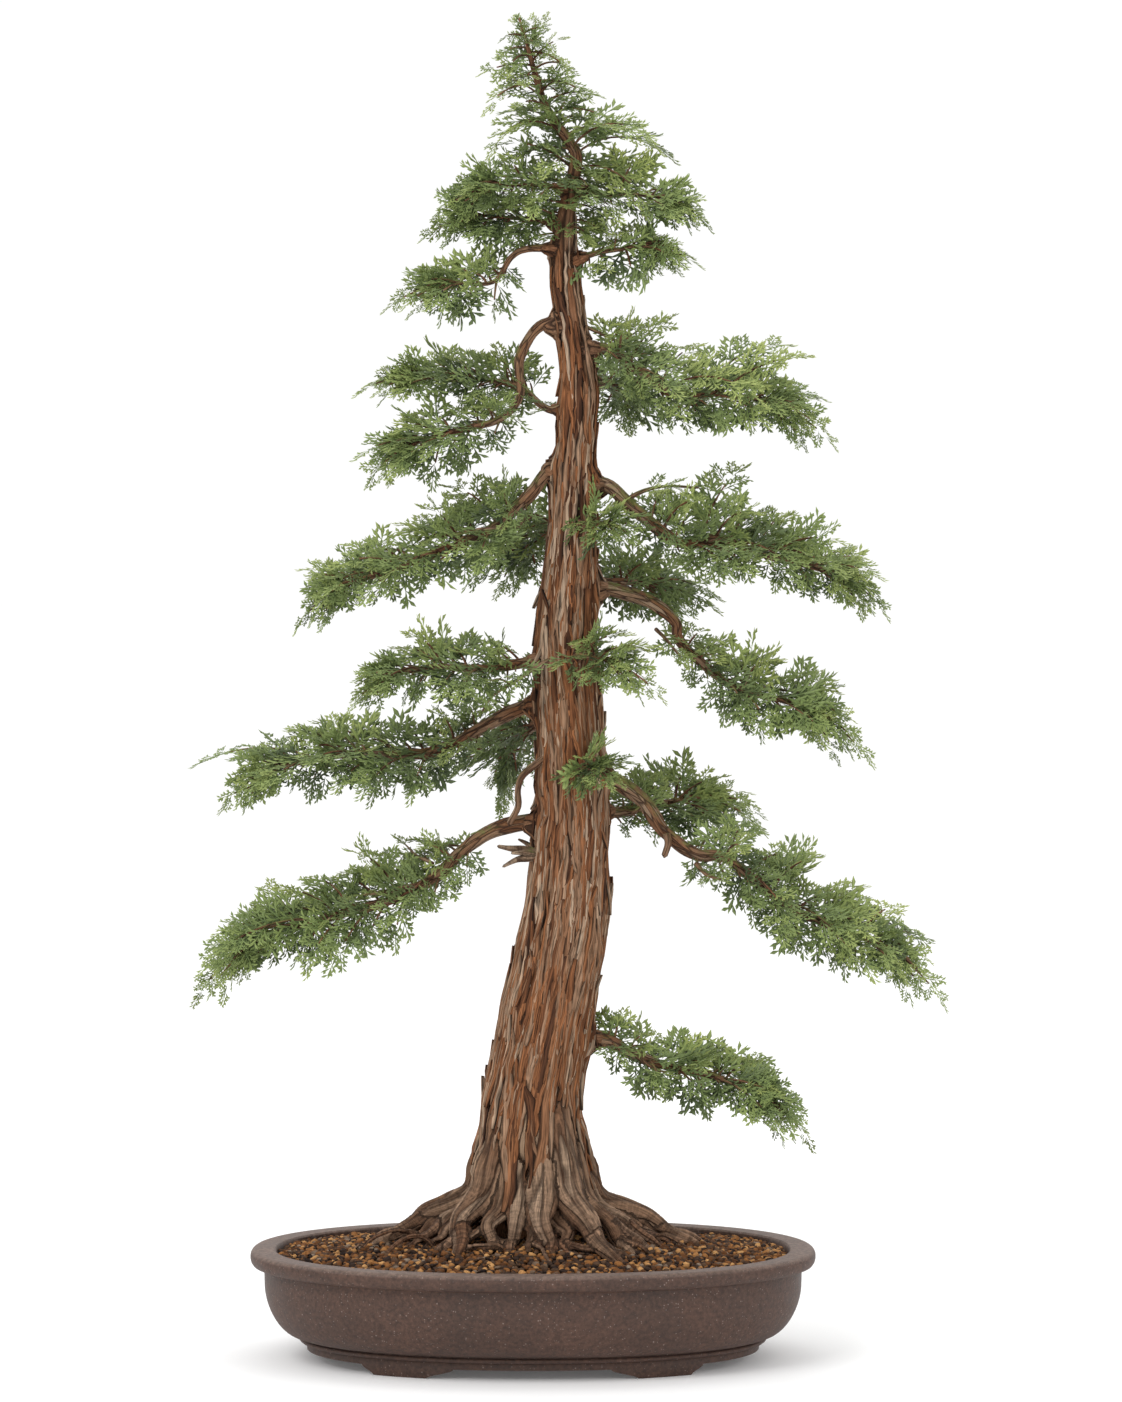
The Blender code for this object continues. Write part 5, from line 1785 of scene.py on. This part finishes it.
def make_leader(shapes, tree):
    """The thin top of the trunk and the crown of shoots round it."""
    wood = Wood()
    levels = (TRUNK[:, 2] - RIM_Z) / MM
    upper = TRUNK[levels >= LEADER_FROM]
    rows = smooth_rows(upper, 3)
    wood.add(rows, 12, np.linspace(0.6, 0.1, len(rows)), 0.1, gnarl=0.25)
    rng = np.random.default_rng(77)
    crowns = {"foliage_apex_lower": Foliage(501), "foliage_apex_upper": Foliage(502)}
    reaches = np.array(CROWN_REACH, float)
    height, turn = CROWN_FROM, 0.4
    while height < CROWN_TO:
        middle = trunk_at(height)
        reach = np.interp(height, reaches[:, 0], reaches[:, 1])
        way = np.array([math.cos(turn), math.sin(turn), 0])
        if 640 < height < 668 and way[0] > 0.3:
            reach *= 1.25
        length = reach * rng.uniform(0.72, 1.05) * MM
        line = shoot_line(middle[:3], way, length, rng.uniform(4, 46), rng.uniform(30, 66), rng)
        crown = crowns["foliage_apex_upper" if height > CROWN_SPLIT else "foliage_apex_lower"]
        tint = 0.56 + rng.normal(0, 0.1)
        outward = way * 0.4 + (0, -0.5, 0)
        add_shoot(wood, crown, line, 0.8, tint, outward=outward, largest=11 + 0.36 * reach)
        turn += 2.4
        height += rng.uniform(1.7, 2.9)
    for lean in (-0.35, 0.1, 0.5):
        tip = trunk_at(718)[:3]
        steps = (0, 0.6, 1.2, 1.8, 2.4)
        line = [tip + np.array([lean * 9, rng.uniform(-3, 3), 8.0]) * MM * step for step in steps]
        crowns["foliage_apex_upper"].dress(np.array(line), 0.7, spacing=2.2, largest=13.0, bare=0.0)
    keep(place("wood_leader", wood.mesh("wood_leader")), "bark", "trunk_and_roots", material=branch_bark)
    for node, crown in crowns.items():
        crown.piece(node.replace("foliage", "sprays"), node, shapes, tree)


def make_stub():
    """The split dead stub on the trunk's left, bare and grey."""
    start = trunk_at(236)
    wood = Wood()
    base = start[:3] + np.array([-12, -6, 1]) * MM
    tips = (
        ([(-12, -1, 2), (-22, -2, 3), (-31, -4, 5)], 4.2, 1.2),
        ([(-12, -2, -2), (-20, -4, -3), (-28, -5, -7)], 3.8, 1.0),
        ([(-11, -4, 1), (-18, -6, 1), (-23, -8, 1)], 2.6, 0.8),
        ([(-10, -1, 4), (-15, -1, 7), (-19, -2, 9)], 2.2, 0.6),
    )
    for points, thick, thin in tips:
        rows = [(*base, thick * MM)]
        for k, step in enumerate(points):
            radius = thick + (thin - thick) * (k + 1) / len(points)
            rows.append((*(base + np.array(step) * MM), radius * MM))
        wood.add(smooth_rows(rows, 5), 9, 0.8, 0.9, gnarl=0.5)
    keep(place("split_stub", wood.mesh("split_stub")), "deadwood", "dead_stub", material=branch_bark)


# ---- stage -----------------------------------------------------------------------------------


def make_stage():
    """A plain pale floor, soft light all round, and the camera at the front."""
    bm = bmesh.new()
    bmesh.ops.create_grid(bm, x_segments=1, y_segments=1, size=30.0)
    mesh = to_mesh(bm, "floor")
    material, tree, shader = new_material("pale_floor", 0.9, 0.1)
    shader["Base Color"].default_value = (0.93, 0.93, 0.93, 1)
    shader["Emission Color"].default_value = (1, 1, 1, 1)
    shader["Emission Strength"].default_value = 0.08
    floor = place("floor", mesh)
    mesh.materials.append(material)
    world = bpy.data.worlds.new("studio")
    bpy.context.scene.world = world
    world.use_nodes = True
    world.node_tree.nodes["Background"].inputs[0].default_value = (1.0, 1.0, 1.0, 1)
    world.node_tree.nodes["Background"].inputs[1].default_value = 1.02
    for name, spot, size, power in LAMPS:
        light = bpy.data.lights.new(name, "AREA")
        light.size = size
        light.energy = power
        lamp = bpy.data.objects.new(name, light)
        bpy.context.scene.collection.objects.link(lamp)
        lamp.location = spot
        lamp.rotation_euler = (LAMP_AIM - Vector(spot)).to_track_quat("-Z", "Y").to_euler()
    camera = bpy.data.cameras.new("camera")
    camera.lens = LENS
    camera.sensor_width = 36.0
    camera.clip_start = 0.05
    camera.clip_end = 100.0
    stand = bpy.data.objects.new("camera", camera)
    bpy.context.scene.collection.objects.link(stand)
    stand.location = CAMERA_SPOT
    stand.rotation_euler = (CAMERA_AIM - CAMERA_SPOT).to_track_quat("-Z", "Y").to_euler()
    bpy.context.scene.camera = stand
    bpy.context.scene.view_settings.view_transform = "Standard"


make_stage()
make_pot()
make_soil_bed()
make_granules()
make_strips(make_trunk())
make_stub()
spray_shapes = shape_box("sprays", [spray_shape(k) for k in range(SPRAY_KINDS)])
on_shoots = sprays_tree()
make_leader(spray_shapes, on_shoots)
for number, (name, (wood_sizes, pad)) in enumerate(BRANCHES.items()):
    make_branch(name, number, wood_sizes, pad, spray_shapes, on_shoots)
empty_box(spray_shapes)
for name, material in (("drainage_screen_", screen_plastic), ("screen_wire_", drawn_wire)):
    for end in ("left", "right"):
        frame["nodes"][name + end].material_slots[0].material = material
